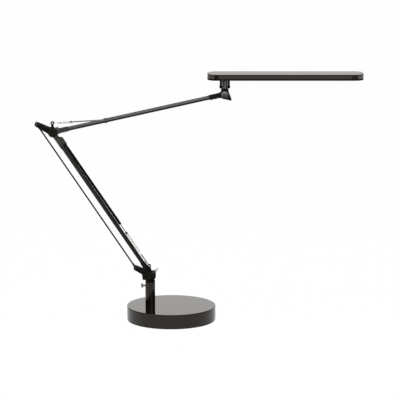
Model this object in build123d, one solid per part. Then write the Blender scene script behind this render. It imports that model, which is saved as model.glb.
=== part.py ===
from build123d import *
import math
import os

# Balanced desk lamp: weighted round base, short column, two sprung arms and a flat LED head.
#
# Millimetres, +Z up. The origin is the centre of the base's underside. The arms lie in a plane
# parallel to XZ, and the lamp is posed as it usually stands: the lower arm leans back to -X, the
# upper arm runs forward to +X, and the flat head carries on past its end.

os.makedirs("parts", exist_ok=True)

# ---------------------------------------------------------------- driving dimensions
BASE_DIAMETER = 190.0
BASE_HEIGHT = 31.2
BASE_WALL = 2.0
BASE_EDGE_ROUND = 1.2
PAD_THICKNESS = 1.5
BASE_PLATE_THICKNESS = 2.0
WEIGHT_THICKNESS = 20.0
BASE_SCREW_COUNT = 4

COLUMN_X = -45.4              # the column stands off the middle of the base
COLUMN_Y = 20.0
COLUMN_DIAMETER = 21.4
COLUMN_HEIGHT = 46.8
BUSH_WALL = 2.0
SPIGOT_DIAMETER = 13.0
SPIGOT_LENGTH = 30.0
COLUMN_BOLT_DIAMETER = 8.0

LOWER_ARM_LENGTH = 376.0      # pivot to pivot
LOWER_ARM_ANGLE = 123.79      # degrees above +X
UPPER_ARM_LENGTH = 375.2
UPPER_ARM_ANGLE = 12.6
TUBE_DIAMETER = 9.0
TUBE_WALL = 0.9
SOCKET_WALL = 1.1             # the moulded sleeve round each tube end

KNEE_RISE = 13.5              # pivot above the top of the column
KNEE_FORWARD = 2.5            # pivot ahead of the column's axis
AXLE_DIAMETER = 6.0
HUB_DIAMETER = 19.6
HUB_THICKNESS = 3.0
TONGUE_RADIUS = 7.5
TONGUE_THICKNESS = 6.4
CHEEK_THICKNESS = 2.0
CHEEK_INNER = 6.2             # inner face of each cheek from the arm plane

EAR_X = -33.8                 # the link's pivots, from the knee and from the elbow
EAR_Z = 17.0
EAR_RADIUS = 4.3
LINK_DIAMETER = 3.2
RIVET_DIAMETER = 4.5
RIVET_BORE = 2.8

KNEE_EYE_X = -4.6             # the spring's eye, from the knee
KNEE_EYE_Z = 23.3
ELBOW_EYE_X = -0.2            # and from the elbow
ELBOW_EYE_Z = 21.2
EYE_RADIUS = 3.8
EYE_HOLE_DIAMETER = 4.0

WIRE_DIAMETER = 1.0           # spring wire
COIL_DIAMETER = 5.4           # outside of the coil
COIL_PITCH = 1.6
LOWER_COIL_TURNS = 30
UPPER_COIL_TURNS = 17
LOWER_SHANK = 29.0            # straight wire between the coil and its hook
UPPER_SHANK = 3.0
LOWER_ROD_DIAMETER = 5.6      # the sleeve of the lower rod
UPPER_ROD_DIAMETER = 2.8
LOWER_ROD_NECK = 24.0         # thin wire between the spring's cap and the sleeve
UPPER_ROD_NECK = 0.0
ROD_WIRE_DIAMETER = 1.6
LOWER_ANCHOR_CLEAR = 0.5      # between the lower anchor's band and the arm's upper end piece
LOWER_ANCHOR_ACROSS = -8.6    # the lower stud's place beside the arm
UPPER_ANCHOR = 116.0          # anchor stud along the upper arm, from the elbow
UPPER_ANCHOR_ACROSS = 3.0

NECK_RISE = 12.0              # top of the neck's bridge above the head's pivot
BARREL_DIAMETER = 10.6
BARREL_LENGTH = 16.2
YOKE_WIDTH = 21.6
YOKE_DEPTH = 16.0
YOKE_END_RADIUS = 4.0
ROLL_PIN_DIAMETER = 4.0
HEAD_RISE = 32.6              # underside of the head above its pivot

HEAD_LENGTH = 331.0
HEAD_DEPTH = 52.0
HEAD_THICKNESS = 12.8
HEAD_OVERHANG = 37.0          # the head's near end behind the neck
HEAD_CORNER = 19.0
HEAD_WALL = 1.6
BEZEL_THICKNESS = 3.0
DIFFUSER_THICKNESS = 1.6
HEAD_RIM = 6.0
LED_COUNT = 28
LED_SIZE = 3.0
BUTTON_DIAMETER = 4.4
BUTTON_FROM_END = 27.0
BUTTON_TRAVEL = 0.8

# ---------------------------------------------------------------- fits
RUNNING = 0.05                # radial, pin in a turning bore
SNUG = 0.02                   # radial, parts that stay together
GAP = 0.3                     # between pieces that move past each other
FACE_GAP = 0.1                # between flat faces that turn on each other

# ---------------------------------------------------------------- worked out from the above
BASE_RADIUS = BASE_DIAMETER / 2
COLUMN_RADIUS = COLUMN_DIAMETER / 2
SPIGOT_RADIUS = SPIGOT_DIAMETER / 2
AXLE_RADIUS = AXLE_DIAMETER / 2
HUB_RADIUS = HUB_DIAMETER / 2
TUBE_RADIUS = TUBE_DIAMETER / 2
SOCKET_RADIUS = TUBE_RADIUS + SOCKET_WALL
TONGUE_HALF = TONGUE_THICKNESS / 2
CHEEK_OUTER = CHEEK_INNER + CHEEK_THICKNESS
CHEEK_MIDDLE = CHEEK_INNER + CHEEK_THICKNESS / 2
HOOK_RADIUS = math.hypot(EYE_RADIUS - EYE_HOLE_DIAMETER / 2, CHEEK_THICKNESS) / 2 + GAP + WIRE_DIAMETER / 2
SPRING_Y = -(CHEEK_MIDDLE + HOOK_RADIUS)

COLUMN_TOP = BASE_HEIGHT + COLUMN_HEIGHT
KNEE = (COLUMN_X + KNEE_FORWARD, COLUMN_TOP + KNEE_RISE)


def step_from(point, length, angle):
    """The point at a length and an angle from another, in the arm plane."""
    turn = math.radians(angle)
    return (point[0] + length * math.cos(turn), point[1] + length * math.sin(turn))


ELBOW = step_from(KNEE, LOWER_ARM_LENGTH, LOWER_ARM_ANGLE)
NECK = step_from(ELBOW, UPPER_ARM_LENGTH, UPPER_ARM_ANGLE)
HEAD_BOTTOM = NECK[1] + HEAD_RISE
HEAD_MIDDLE_X = NECK[0] - HEAD_OVERHANG + HEAD_LENGTH / 2
ROLL_AXIS = NECK_RISE + GAP + YOKE_END_RADIUS


def placed(point, angle=0.0):
    """A frame in the arm plane: its X runs at the angle above +X."""
    return Location((point[0], COLUMN_Y, point[1]), (0, -angle, 0))


AT_KNEE = placed(KNEE)
AT_ELBOW = placed(ELBOW)
AT_NECK = placed(NECK)
ON_LOWER_ARM = placed(KNEE, LOWER_ARM_ANGLE)
ON_UPPER_ARM = placed(ELBOW, UPPER_ARM_ANGLE)


# ---------------------------------------------------------------- helpers
def slab(sketch, y_low, y_high):
    """A plate of an outline drawn in X and Z, from one Y to another."""
    return extrude(Plane.XZ.offset(-y_high) * sketch, amount=y_high - y_low)


def pin_y(radius, y_low, y_high, x=0.0, z=0.0):
    """A cylinder along Y."""
    return slab(Pos(x, z) * Circle(radius), y_low, y_high)


def rod_x(radius, x_low, x_high, y=0.0, z=0.0):
    """A cylinder along X."""
    return Pos((x_low + x_high) / 2, y, z) * Rot(0, 90, 0) * Cylinder(radius, x_high - x_low)


def post(radius, z_low, z_high, x=0.0, y=0.0):
    """A cylinder along Z."""
    return Pos(x, y, (z_low + z_high) / 2) * Cylinder(radius, z_high - z_low)


def slab_x(sketch, x_low, x_high):
    """A plate of an outline drawn in Y and Z, from one X to another."""
    return extrude(Plane.YZ.offset(x_low) * sketch, amount=x_high - x_low)


def hull(*circles):
    """The outline stretched round circles, each given as x, z and radius."""
    edges = ShapeList()
    for x, z, radius in circles:
        edges += (Pos(x, z) * Circle(radius)).edges()
    return make_hull(edges)


def box_between(low, high):
    """A block between two corners."""
    size = [b - a for a, b in zip(low, high)]
    middle = [(a + b) / 2 for a, b in zip(low, high)]
    return Pos(*middle) * Box(*size)


def hub_cover(y_low, y_high, outward):
    """A round cover with a softened outer rim, over an axle's end."""
    disc = pin_y(HUB_RADIUS, y_low, y_high)
    rim_y = y_low if outward < 0 else y_high
    rim = disc.edges().filter_by(lambda edge: abs(edge.center().Y - rim_y) < FACE_GAP)
    return fillet(rim, HUB_THICKNESS / 2)


NODES = {}


def keep(name, shape, where=None):
    """Store a finished piece, or a group of them, under its node's name."""
    pieces = shape if isinstance(shape, (list, tuple)) else [shape]
    solids = []
    for piece in pieces:
        moved = where * piece if where is not None else piece
        solids.extend(moved.solids())
    NODES[name] = solids[0] if len(solids) == 1 else Compound(children=solids)


# ---------------------------------------------------------------- base
WEIGHT_RADIUS = BASE_RADIUS - BASE_WALL - GAP
WEIGHT_BOTTOM = PAD_THICKNESS + BASE_PLATE_THICKNESS
WEIGHT_TOP = WEIGHT_BOTTOM + WEIGHT_THICKNESS
BOLT_RADIUS = COLUMN_BOLT_DIAMETER / 2
BOLT_HEAD_RADIUS = COLUMN_BOLT_DIAMETER * 0.8
BOLT_HEAD_HEIGHT = COLUMN_BOLT_DIAMETER * 0.6
WASHER_THICKNESS = 1.6
BOLT_POCKET = BOLT_HEAD_HEIGHT + WASHER_THICKNESS
BOLT_GRIP = 10.0
BASE_SCREW_RADIUS = 1.5
BASE_SCREW_LENGTH = 8.0
BASE_SCREW_RING = BASE_RADIUS * 0.8
GLAND_BORE = 1.8
GLAND_NECK = 2.7
GLAND_FLANGE_RADIUS = 4.2
GLAND_LENGTH = 7.0
GLAND_FLANGE = 1.5
LEDGE = 1.0                   # a small step or corner radius, used throughout


def base_pieces():
    """The disc: a shell over a cast weight, closed by a plate and a pad."""
    shell = post(BASE_RADIUS, PAD_THICKNESS, BASE_HEIGHT)
    shell = fillet(shell.edges().group_by(Axis.Z)[-1], BASE_EDGE_ROUND)
    shell -= post(BASE_RADIUS - BASE_WALL, PAD_THICKNESS, BASE_HEIGHT - BASE_WALL)
    shell -= post(BOLT_RADIUS + RUNNING, WEIGHT_TOP, BASE_HEIGHT, COLUMN_X, COLUMN_Y)
    gland_z = WEIGHT_TOP + (BASE_HEIGHT - BASE_WALL - WEIGHT_TOP) / 2
    gland_hole = Pos(0, BASE_RADIUS, gland_z) * Rot(90, 0, 0) * Cylinder(GLAND_NECK + SNUG, 4 * BASE_WALL)
    keep("base_cover", shell - gland_hole)

    weight = post(WEIGHT_RADIUS, WEIGHT_BOTTOM, WEIGHT_TOP)
    weight -= post(BOLT_RADIUS + RUNNING, WEIGHT_BOTTOM, WEIGHT_TOP, COLUMN_X, COLUMN_Y)
    pocket_radius = BOLT_HEAD_RADIUS + LEDGE
    weight -= post(pocket_radius, WEIGHT_BOTTOM, WEIGHT_BOTTOM + BOLT_POCKET, COLUMN_X, COLUMN_Y)

    plate = post(BASE_RADIUS - BASE_WALL - SNUG, PAD_THICKNESS, WEIGHT_BOTTOM)
    pad = post(BASE_RADIUS - LEDGE, 0, PAD_THICKNESS)
    screws = []
    for spot in PolarLocations(BASE_SCREW_RING, BASE_SCREW_COUNT, 45):
        hole = spot * post(BASE_SCREW_RADIUS + SNUG, PAD_THICKNESS, WEIGHT_BOTTOM + BASE_SCREW_LENGTH)
        weight -= hole
        plate -= hole
        screws.append(spot * post(BASE_SCREW_RADIUS, PAD_THICKNESS, WEIGHT_BOTTOM + BASE_SCREW_LENGTH))
    keep("base_weight", weight)
    keep("base_plate", plate)
    keep("base_pad", pad)
    keep("base_screws", screws)

    spacer_radius = COLUMN_RADIUS
    spacer = post(spacer_radius, WEIGHT_TOP, BASE_HEIGHT - BASE_WALL, COLUMN_X, COLUMN_Y)
    spacer -= post(BOLT_RADIUS + RUNNING, WEIGHT_TOP, BASE_HEIGHT, COLUMN_X, COLUMN_Y)
    keep("column_spacer", spacer)

    gland = pin_y(GLAND_NECK, BASE_RADIUS - GLAND_LENGTH, BASE_RADIUS + GLAND_FLANGE, 0, gland_z)
    gland += pin_y(GLAND_FLANGE_RADIUS, BASE_RADIUS, BASE_RADIUS + GLAND_FLANGE, 0, gland_z)
    gland -= pin_y(GLAND_BORE, BASE_RADIUS - GLAND_LENGTH, BASE_RADIUS + GLAND_FLANGE, 0, gland_z)
    keep("cord_gland", gland)


# ---------------------------------------------------------------- column
BUSH_RADIUS = SPIGOT_RADIUS + RUNNING + BUSH_WALL
SPIGOT_BOTTOM = COLUMN_TOP - SPIGOT_LENGTH
BUSH_BOTTOM = SPIGOT_BOTTOM - GAP
CLAMP_Z = COLUMN_TOP - 8.5
CLAMP_SCREW_RADIUS = 1.8
CLAMP_REACH = 9.4             # how far the wings stand out of the column
WING_SPAN = 4.8
WING_THICKNESS = 1.6


def wing_head(radius, length, span, thickness):
    """A boss along +X with two rounded wings in the XZ plane, its foot at the origin."""
    boss = rod_x(radius, 0, length)
    wing_radius = length * 0.36
    wings = []
    for side in (1, -1):
        tip = (length - wing_radius, side * (span - wing_radius), wing_radius)
        outline = hull((thickness, 0, thickness), tip)
        wings.append(slab(outline, -thickness / 2, thickness / 2))
    return boss + wings[0] + wings[1]


def column_pieces():
    """The column, its bush, the bolt that holds it down and its clamp screw."""
    column = post(COLUMN_RADIUS, BASE_HEIGHT, COLUMN_TOP)
    column -= post(BUSH_RADIUS + SNUG, BUSH_BOTTOM, COLUMN_TOP)
    column -= post(BOLT_RADIUS + SNUG, BASE_HEIGHT, BASE_HEIGHT + BOLT_GRIP)
    side_hole = Pos(0, 0, CLAMP_Z) * rod_x(CLAMP_SCREW_RADIUS + RUNNING, -COLUMN_DIAMETER, 0)
    bush = post(BUSH_RADIUS, BUSH_BOTTOM, COLUMN_TOP)
    bush -= post(SPIGOT_RADIUS + RUNNING, BUSH_BOTTOM, COLUMN_TOP)
    stand = Pos(COLUMN_X, COLUMN_Y, 0)
    keep("column", column - side_hole, stand)
    keep("column_bush", bush - side_hole, stand)

    head_bottom = WEIGHT_BOTTOM
    head_top = head_bottom + BOLT_HEAD_HEIGHT
    bolt = post(BOLT_RADIUS, head_top, BASE_HEIGHT + BOLT_GRIP)
    hexagon = RegularPolygon(BOLT_HEAD_RADIUS, 6)
    bolt += extrude(Plane.XY.offset(head_bottom) * hexagon, amount=BOLT_HEAD_HEIGHT)
    washer = post(BOLT_HEAD_RADIUS, head_top, head_top + WASHER_THICKNESS)
    washer -= post(BOLT_RADIUS + RUNNING, head_top, head_top + WASHER_THICKNESS)
    keep("column_bolt", bolt, stand)
    keep("column_washer", washer, stand)

    shaft = rod_x(CLAMP_SCREW_RADIUS, SPIGOT_RADIUS + FACE_GAP, COLUMN_RADIUS + CLAMP_REACH / 2)
    wings = Pos(COLUMN_RADIUS + CLAMP_REACH / 3, 0, 0) * wing_head(
        CLAMP_SCREW_RADIUS * 1.5, CLAMP_REACH * 2 / 3, WING_SPAN, WING_THICKNESS
    )
    turned = Pos(0, 0, CLAMP_Z) * Rot(0, 0, 180) * (shaft + wings)
    keep("clamp_screw", turned, stand)


# ---------------------------------------------------------------- swivel bracket and knee
FLOOR_THICKNESS = 3.6
BLOCK_BACK = -20.8            # the bracket's rear block, from the knee
BLOCK_FRONT = -14.2
BLOCK_TOP = 10.2
BLOCK_BOTTOM = -8.0
FLOOR_BOTTOM = -KNEE_RISE + FACE_GAP
FLOOR_TOP = FLOOR_BOTTOM + FLOOR_THICKNESS
STEM_RADIUS = 2.2
EAR_ROOT = 0.72               # the ear's half width at the hub, as a share of the hub's radius
SPIGOT_SCREW_RADIUS = 2.0
SPIGOT_SCREW_HEAD = 3.4
SPIGOT_SCREW_HEAD_HEIGHT = 1.8
SPIGOT_SCREW_LENGTH = 14.0
WING_NUT_REACH = 8.0
WING_NUT_BODY = 6.5           # radius of the nut's round body
WING_NUT_SPAN = 18.9          # from the axis to the lever's tip
WING_NUT_TIP = 1.5
WING_NUT_PLATE = 3.6          # thickness of the body and the lever
WING_NUT_TILT = 41.0


def with_eye(outline, x, z):
    """The outline with a stem up to a round eye added to it."""
    stem = hull((0, 0, STEM_RADIUS * 2), (x, z, STEM_RADIUS))
    return outline + stem + Pos(x, z) * Circle(EYE_RADIUS) - Pos(x, z) * Circle(EYE_HOLE_DIAMETER / 2)


def ear_outline():
    """A plate that tapers from the hub back to the link's pivot."""
    return hull((0, 0, HUB_RADIUS * EAR_ROOT), (EAR_X, EAR_Z, EAR_RADIUS))


def pierced(outline):
    """The outline with its holes for the axle and the link's rivet."""
    return outline - Circle(AXLE_RADIUS + SNUG) - Pos(EAR_X, EAR_Z) * Circle(RIVET_DIAMETER / 2 + SNUG)


def swivel_pieces():
    """The bracket that turns on the column and carries the knee."""
    column_axis = -KNEE_FORWARD
    cheek = hull((0, 0, HUB_RADIUS - GAP),
                 (BLOCK_BACK + LEDGE, BLOCK_TOP - LEDGE, LEDGE),
                 (BLOCK_BACK + 3 * LEDGE, BLOCK_BOTTOM + LEDGE, LEDGE))
    floor_half = SPIGOT_RADIUS + BUSH_WALL
    foot = Pos(column_axis, FLOOR_BOTTOM / 2) * Rectangle(2 * floor_half, -FLOOR_BOTTOM)
    cheek = cheek + foot + ear_outline()
    front = slab(pierced(with_eye(cheek, KNEE_EYE_X, KNEE_EYE_Z)), -CHEEK_OUTER, -CHEEK_INNER)
    back = slab(pierced(cheek), CHEEK_INNER, CHEEK_OUTER)
    floor = box_between((column_axis - floor_half, -CHEEK_INNER, FLOOR_BOTTOM),
                        (column_axis + floor_half, CHEEK_INNER, FLOOR_TOP))
    block = box_between((BLOCK_BACK + 3 * LEDGE, -CHEEK_INNER, BLOCK_BOTTOM + 2 * LEDGE),
                        (BLOCK_FRONT, CHEEK_INNER, BLOCK_TOP - 2 * LEDGE))
    bracket = front + back + floor + block
    screw_hole = post(SPIGOT_SCREW_RADIUS + SNUG, FLOOR_BOTTOM, FLOOR_TOP, column_axis)
    head_hole = post(SPIGOT_SCREW_HEAD + SNUG, FLOOR_TOP - SPIGOT_SCREW_HEAD_HEIGHT, FLOOR_TOP, column_axis)
    keep("swivel_bracket", bracket - screw_hole - head_hole, AT_KNEE)

    spigot = post(SPIGOT_RADIUS, -KNEE_RISE - SPIGOT_LENGTH, FLOOR_BOTTOM, column_axis)
    screw_bottom = FLOOR_TOP - SPIGOT_SCREW_LENGTH
    spigot -= post(SPIGOT_SCREW_RADIUS + SNUG, screw_bottom, FLOOR_BOTTOM, column_axis)
    screw = post(SPIGOT_SCREW_RADIUS, screw_bottom, FLOOR_TOP, column_axis)
    screw += post(SPIGOT_SCREW_HEAD, FLOOR_TOP - SPIGOT_SCREW_HEAD_HEIGHT, FLOOR_TOP, column_axis)
    keep("swivel_spigot", spigot, AT_KNEE)
    keep("spigot_screw", screw, AT_KNEE)
    pivot_pieces("knee", AT_KNEE, AXLE_RADIUS, TONGUE_HALF + FACE_GAP)

    nut_start = CHEEK_OUTER + HUB_THICKNESS + GAP
    lever = hull((0, 0, WING_NUT_BODY), (WING_NUT_SPAN - WING_NUT_TIP, 0, WING_NUT_TIP))
    nut = slab(lever, nut_start, nut_start + WING_NUT_PLATE)
    nut += pin_y(AXLE_RADIUS * 1.3, nut_start, nut_start + WING_NUT_REACH)
    nut -= pin_y(AXLE_RADIUS * 0.6 + RUNNING, nut_start, nut_start + WING_NUT_REACH / 2)
    keep("knee_wing_nut", Rot(0, -WING_NUT_TILT, 0) * nut, AT_KNEE)


def pivot_pieces(name, where, axle_radius, washer_inner):
    """An axle with a cover over each end, and washers where the tongue turns alone."""
    keep(name + "_hub_front", hub_cover(-CHEEK_OUTER - HUB_THICKNESS, -CHEEK_OUTER, -1), where)
    axle = pin_y(axle_radius, -CHEEK_OUTER, CHEEK_OUTER)
    back = hub_cover(CHEEK_OUTER, CHEEK_OUTER + HUB_THICKNESS, 1)
    if name == "knee":
        stud_end = CHEEK_OUTER + HUB_THICKNESS + GAP + WING_NUT_REACH / 2 - GAP
        axle += pin_y(axle_radius * 0.6, CHEEK_OUTER, stud_end)
        back -= pin_y(axle_radius * 0.6 + SNUG, CHEEK_OUTER, CHEEK_OUTER + HUB_THICKNESS)
    keep(name + "_axle", axle, where)
    keep(name + "_hub_back", back, where)
    if washer_inner is not None:
        ring = Circle(TONGUE_RADIUS - LEDGE) - Circle(axle_radius + RUNNING)
        pair = [slab(ring, washer_inner, CHEEK_INNER), slab(ring, -CHEEK_INNER, -washer_inner)]
        keep(name + "_washers", pair, where)


# ---------------------------------------------------------------- link
RIVET_HEAD_RADIUS = RIVET_DIAMETER / 2 + 1.3
RIVET_HEAD_HEIGHT = 0.8
LINK_END_RADIUS = 3.8
LINK_TAPER = 12.0


def rivet():
    """A hollow rivet across both cheeks."""
    tube = pin_y(RIVET_DIAMETER / 2, -CHEEK_OUTER, CHEEK_OUTER)
    for low, high in ((-CHEEK_OUTER - RIVET_HEAD_HEIGHT, -CHEEK_OUTER),
                      (CHEEK_OUTER, CHEEK_OUTER + RIVET_HEAD_HEIGHT)):
        tube += pin_y(RIVET_HEAD_RADIUS, low, high)
    return tube - pin_y(RIVET_BORE / 2, -CHEEK_OUTER - LEDGE, CHEEK_OUTER + LEDGE)


def link_pieces():
    """The thin rod that keeps the elbow's bracket upright, and its two rivets."""
    end_half = CHEEK_INNER - GAP / 2
    bar = rod_x(LINK_DIAMETER / 2, 0, LOWER_ARM_LENGTH)
    for x, direction in ((0, 1), (LOWER_ARM_LENGTH, -1)):
        bar += pin_y(LINK_END_RADIUS, -end_half, end_half, x)
        taper = Cone(LINK_END_RADIUS * 0.7, LINK_DIAMETER / 2, LINK_TAPER)
        bar += Pos(x + direction * (LINK_TAPER / 2 + 2), 0, 0) * Rot(0, 90 * direction, 0) * taper
        bar -= pin_y(RIVET_DIAMETER / 2 + RUNNING, -CHEEK_OUTER, CHEEK_OUTER, x)
    knee_ear = (KNEE[0] + EAR_X, KNEE[1] + EAR_Z)
    elbow_ear = (ELBOW[0] + EAR_X, ELBOW[1] + EAR_Z)
    keep("link_rod", bar, placed(knee_ear, LOWER_ARM_ANGLE))
    keep("knee_link_rivet", rivet(), placed(knee_ear))
    keep("elbow_link_rivet", rivet(), placed(elbow_ear))


# ---------------------------------------------------------------- arms
SOCKET_START = 16.0
SOCKET_END = 34.0
TUBE_SEAT = 20.0              # where the tube's end stops inside its socket
TONGUE_TIP = 5.0              # half height of the tongue where the socket starts
FORK_INNER = TONGUE_HALF + GAP / 2
FORK_OUTER = CHEEK_INNER - GAP / 2
STUD_RADIUS = 1.2
STUD_HEAD_RADIUS = 2.2
STUD_HEAD_HEIGHT = 1.0
BAND_LENGTH = 6.0
BAND_WALL = 1.0
TIP_SCREW_RADIUS = 1.0
TIP_SCREW_HEAD_RADIUS = 2.0
TIP_SCREW_STANDS = 0.9        # how far its head stands out of the socket
TIP_SCREW_SEAT = 0.6          # depth of the flat it sits on
TIP_SCREW_INSET = 5.0
LOWER_ANCHOR = LOWER_ARM_LENGTH - SOCKET_END - LOWER_ANCHOR_CLEAR - BAND_LENGTH / 2


def socket():
    """The round sleeve that takes a tube's end."""
    return rod_x(SOCKET_RADIUS, SOCKET_START, SOCKET_END)


def tube_room():
    """The bore for the tube."""
    return rod_x(TUBE_RADIUS + SNUG, TUBE_SEAT, SOCKET_END)


def tongue_end():
    """A moulded end with one flat tongue round the axle and a socket for the tube."""
    tongue = slab(hull((0, 0, TONGUE_RADIUS), (SOCKET_START, 0, TONGUE_TIP)), -TONGUE_HALF, TONGUE_HALF)
    return tongue + socket() - tube_room() - pin_y(AXLE_RADIUS + RUNNING, -TONGUE_HALF, TONGUE_HALF)


def fork_end():
    """A moulded end with two cheeks that straddle the other arm's tongue."""
    outline = hull((0, 0, TONGUE_RADIUS), (SOCKET_START, 0, TONGUE_TIP))
    end = slab(outline, -FORK_OUTER, FORK_OUTER) + socket() - tube_room()
    mouth = box_between((-2 * TONGUE_RADIUS, -FORK_INNER, -2 * TONGUE_RADIUS),
                        (SOCKET_START, FORK_INNER, 2 * TONGUE_RADIUS))
    return end - mouth - pin_y(AXLE_RADIUS + RUNNING, -FORK_OUTER, FORK_OUTER)


def arm_tube(length):
    """The tube between an arm's two sockets."""
    outer = rod_x(TUBE_RADIUS, TUBE_SEAT, length - TUBE_SEAT)
    return outer - rod_x(TUBE_RADIUS - TUBE_WALL, TUBE_SEAT, length - TUBE_SEAT)


def far_end(end, length):
    """The same end piece at the far end of an arm."""
    return Pos(length, 0, 0) * Rot(0, 180, 0) * end


def anchor_band(along, across):
    """A band round the tube with a stud that the tension rod hangs on."""
    band_radius = TUBE_RADIUS + BAND_WALL
    low = along - BAND_LENGTH / 2
    high = along + BAND_LENGTH / 2
    stud_end = SPRING_Y - ROD_EYE_HALF - FACE_GAP
    band = rod_x(band_radius, low, high)
    lug = hull((along, 0, STUD_HEAD_RADIUS), (along, across, STUD_HEAD_RADIUS))
    band += slab(lug, -band_radius, -TUBE_RADIUS / 2)
    band += pin_y(STUD_RADIUS, stud_end, -TUBE_RADIUS, along, across)
    band += pin_y(STUD_HEAD_RADIUS, stud_end - STUD_HEAD_HEIGHT, stud_end, along, across)
    return band - rod_x(TUBE_RADIUS + SNUG, low, high)


def local_point(start, angle, along, across):
    """A point given along and across an arm, in the arm plane's own X and Z."""
    return step_from(step_from(start, along, angle), across, angle + 90)


def lower_arm_pieces():
    """The lower arm, which leans back from the knee to the elbow."""
    keep("lower_arm_foot", tongue_end(), ON_LOWER_ARM)
    keep("lower_arm_tube", arm_tube(LOWER_ARM_LENGTH), ON_LOWER_ARM)
    keep("lower_arm_head", far_end(tongue_end(), LOWER_ARM_LENGTH), ON_LOWER_ARM)
    keep("lower_anchor", anchor_band(LOWER_ANCHOR, LOWER_ANCHOR_ACROSS), ON_LOWER_ARM)
    tension_pieces("lower", (KNEE[0] + KNEE_EYE_X, KNEE[1] + KNEE_EYE_Z),
                   local_point(KNEE, LOWER_ARM_ANGLE, LOWER_ANCHOR, LOWER_ANCHOR_ACROSS),
                   LOWER_COIL_TURNS, LOWER_SHANK, LOWER_ROD_DIAMETER / 2, LOWER_ROD_NECK)


def upper_arm_pieces():
    """The upper arm, which runs forward from the elbow to the head's pivot."""
    tip = far_end(tongue_end(), UPPER_ARM_LENGTH)
    tube = arm_tube(UPPER_ARM_LENGTH)
    seat = -SOCKET_RADIUS + TIP_SCREW_SEAT
    screws = []
    for from_pivot in (SOCKET_START + TIP_SCREW_INSET, SOCKET_END - TIP_SCREW_INSET):
        spot = Pos(UPPER_ARM_LENGTH - from_pivot, 0, 0)
        hole = spot * post(TIP_SCREW_RADIUS + SNUG, seat, 0)
        spot_face = spot * post(TIP_SCREW_HEAD_RADIUS + SNUG, -2 * SOCKET_RADIUS, seat)
        tip -= hole + spot_face
        tube -= hole
        head = post(TIP_SCREW_HEAD_RADIUS, -SOCKET_RADIUS - TIP_SCREW_STANDS, seat)
        screws.append(spot * (head + post(TIP_SCREW_RADIUS, seat, -TUBE_RADIUS + TUBE_WALL)))
    keep("upper_arm_fork", fork_end(), ON_UPPER_ARM)
    keep("upper_arm_tube", tube, ON_UPPER_ARM)
    keep("upper_arm_tip", tip, ON_UPPER_ARM)
    keep("tip_screws", screws, ON_UPPER_ARM)
    keep("upper_anchor", anchor_band(UPPER_ANCHOR, UPPER_ANCHOR_ACROSS), ON_UPPER_ARM)
    tension_pieces("upper", (ELBOW[0] + ELBOW_EYE_X, ELBOW[1] + ELBOW_EYE_Z),
                   local_point(ELBOW, UPPER_ARM_ANGLE, UPPER_ANCHOR, UPPER_ANCHOR_ACROSS),
                   UPPER_COIL_TURNS, UPPER_SHANK, UPPER_ROD_DIAMETER / 2, UPPER_ROD_NECK)


def elbow_pieces():
    """The elbow's two bracket plates, held level by the link, with the axle and its covers."""
    plate = ear_outline() + Circle(HUB_RADIUS - GAP)
    front = slab(pierced(with_eye(plate, ELBOW_EYE_X, ELBOW_EYE_Z)), -CHEEK_OUTER, -CHEEK_INNER)
    back = slab(pierced(plate), CHEEK_INNER, CHEEK_OUTER)
    keep("elbow_plate_front", front, AT_ELBOW)
    keep("elbow_plate_back", back, AT_ELBOW)
    pivot_pieces("elbow", AT_ELBOW, AXLE_RADIUS, None)


# ---------------------------------------------------------------- springs
HOOK_OPENING = 300            # degrees of wire in the hook
LEAD_IN = 0.9                 # from shank to first turn, as a share of the coil's diameter
ROD_PLUG_LENGTH = 4.0
ROD_CAP_LENGTH = 3.0
ROD_EYE_RADIUS = 3.0
ROD_EYE_HALF = 1.7            # half the width of the rod's eye
COIL_RADIUS = (COIL_DIAMETER - WIRE_DIAMETER) / 2


def unit(vector):
    """A vector of length one along the given one."""
    return vector * (1 / vector.length)


def biarc(start, start_way, end, end_way):
    """Two arcs that join two points and leave and arrive along two directions."""
    chord = end - start
    square = 2 * start_way.dot(end_way) - 2
    linear = -2 * chord.dot(start_way + end_way)
    root = math.sqrt(linear ** 2 - 4 * square * chord.dot(chord))
    reach = (-linear - root) / (2 * square)
    joint = (start + start_way * reach + end - end_way * reach) * 0.5
    first = Edge.make_tangent_arc(start, start_way, joint)
    return [first, Edge.make_tangent_arc(joint, first % 1, end)]


def coil_point(start_x, half_turns):
    """A point on the coil's middle line."""
    turn = math.pi * half_turns
    along = start_x + COIL_PITCH * half_turns / 2
    return Vector(along, COIL_RADIUS * math.cos(turn), COIL_RADIUS * math.sin(turn))


def coil_way(half_turns):
    """The wire's direction at that point."""
    turn = math.pi * half_turns
    rise = COIL_PITCH / (2 * math.pi)
    return unit(Vector(rise, -COIL_RADIUS * math.sin(turn), COIL_RADIUS * math.cos(turn)))


def hook_point(degrees):
    """A point on the hook's middle line, counted back from where it meets the shank."""
    turn = math.radians(degrees)
    return Vector(-math.sin(turn), 1 - math.cos(turn), 0) * HOOK_RADIUS


def spring_wire(turns, shank):
    """The whole wire along +X: hook, shank, lead-in, every turn and a short straight tail."""
    start_x = shank + LEAD_IN * COIL_DIAMETER
    shank_start = Vector(0, 0, 0)
    shank_end = Vector(shank, 0, 0)
    edges = [Edge.make_three_point_arc(hook_point(HOOK_OPENING), hook_point(HOOK_OPENING / 2), shank_start)]
    edges.append(Edge.make_line(shank_start, shank_end))
    edges += biarc(shank_end, Vector(1, 0, 0), coil_point(start_x, 0), coil_way(0))
    for half in range(2 * turns):
        edges += biarc(coil_point(start_x, half), coil_way(half), coil_point(start_x, half + 1), coil_way(half + 1))
    tail_start = coil_point(start_x, 2 * turns)
    edges.append(Edge.make_line(tail_start, tail_start + coil_way(2 * turns) * WIRE_DIAMETER))
    return edges, tail_start.X


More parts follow.
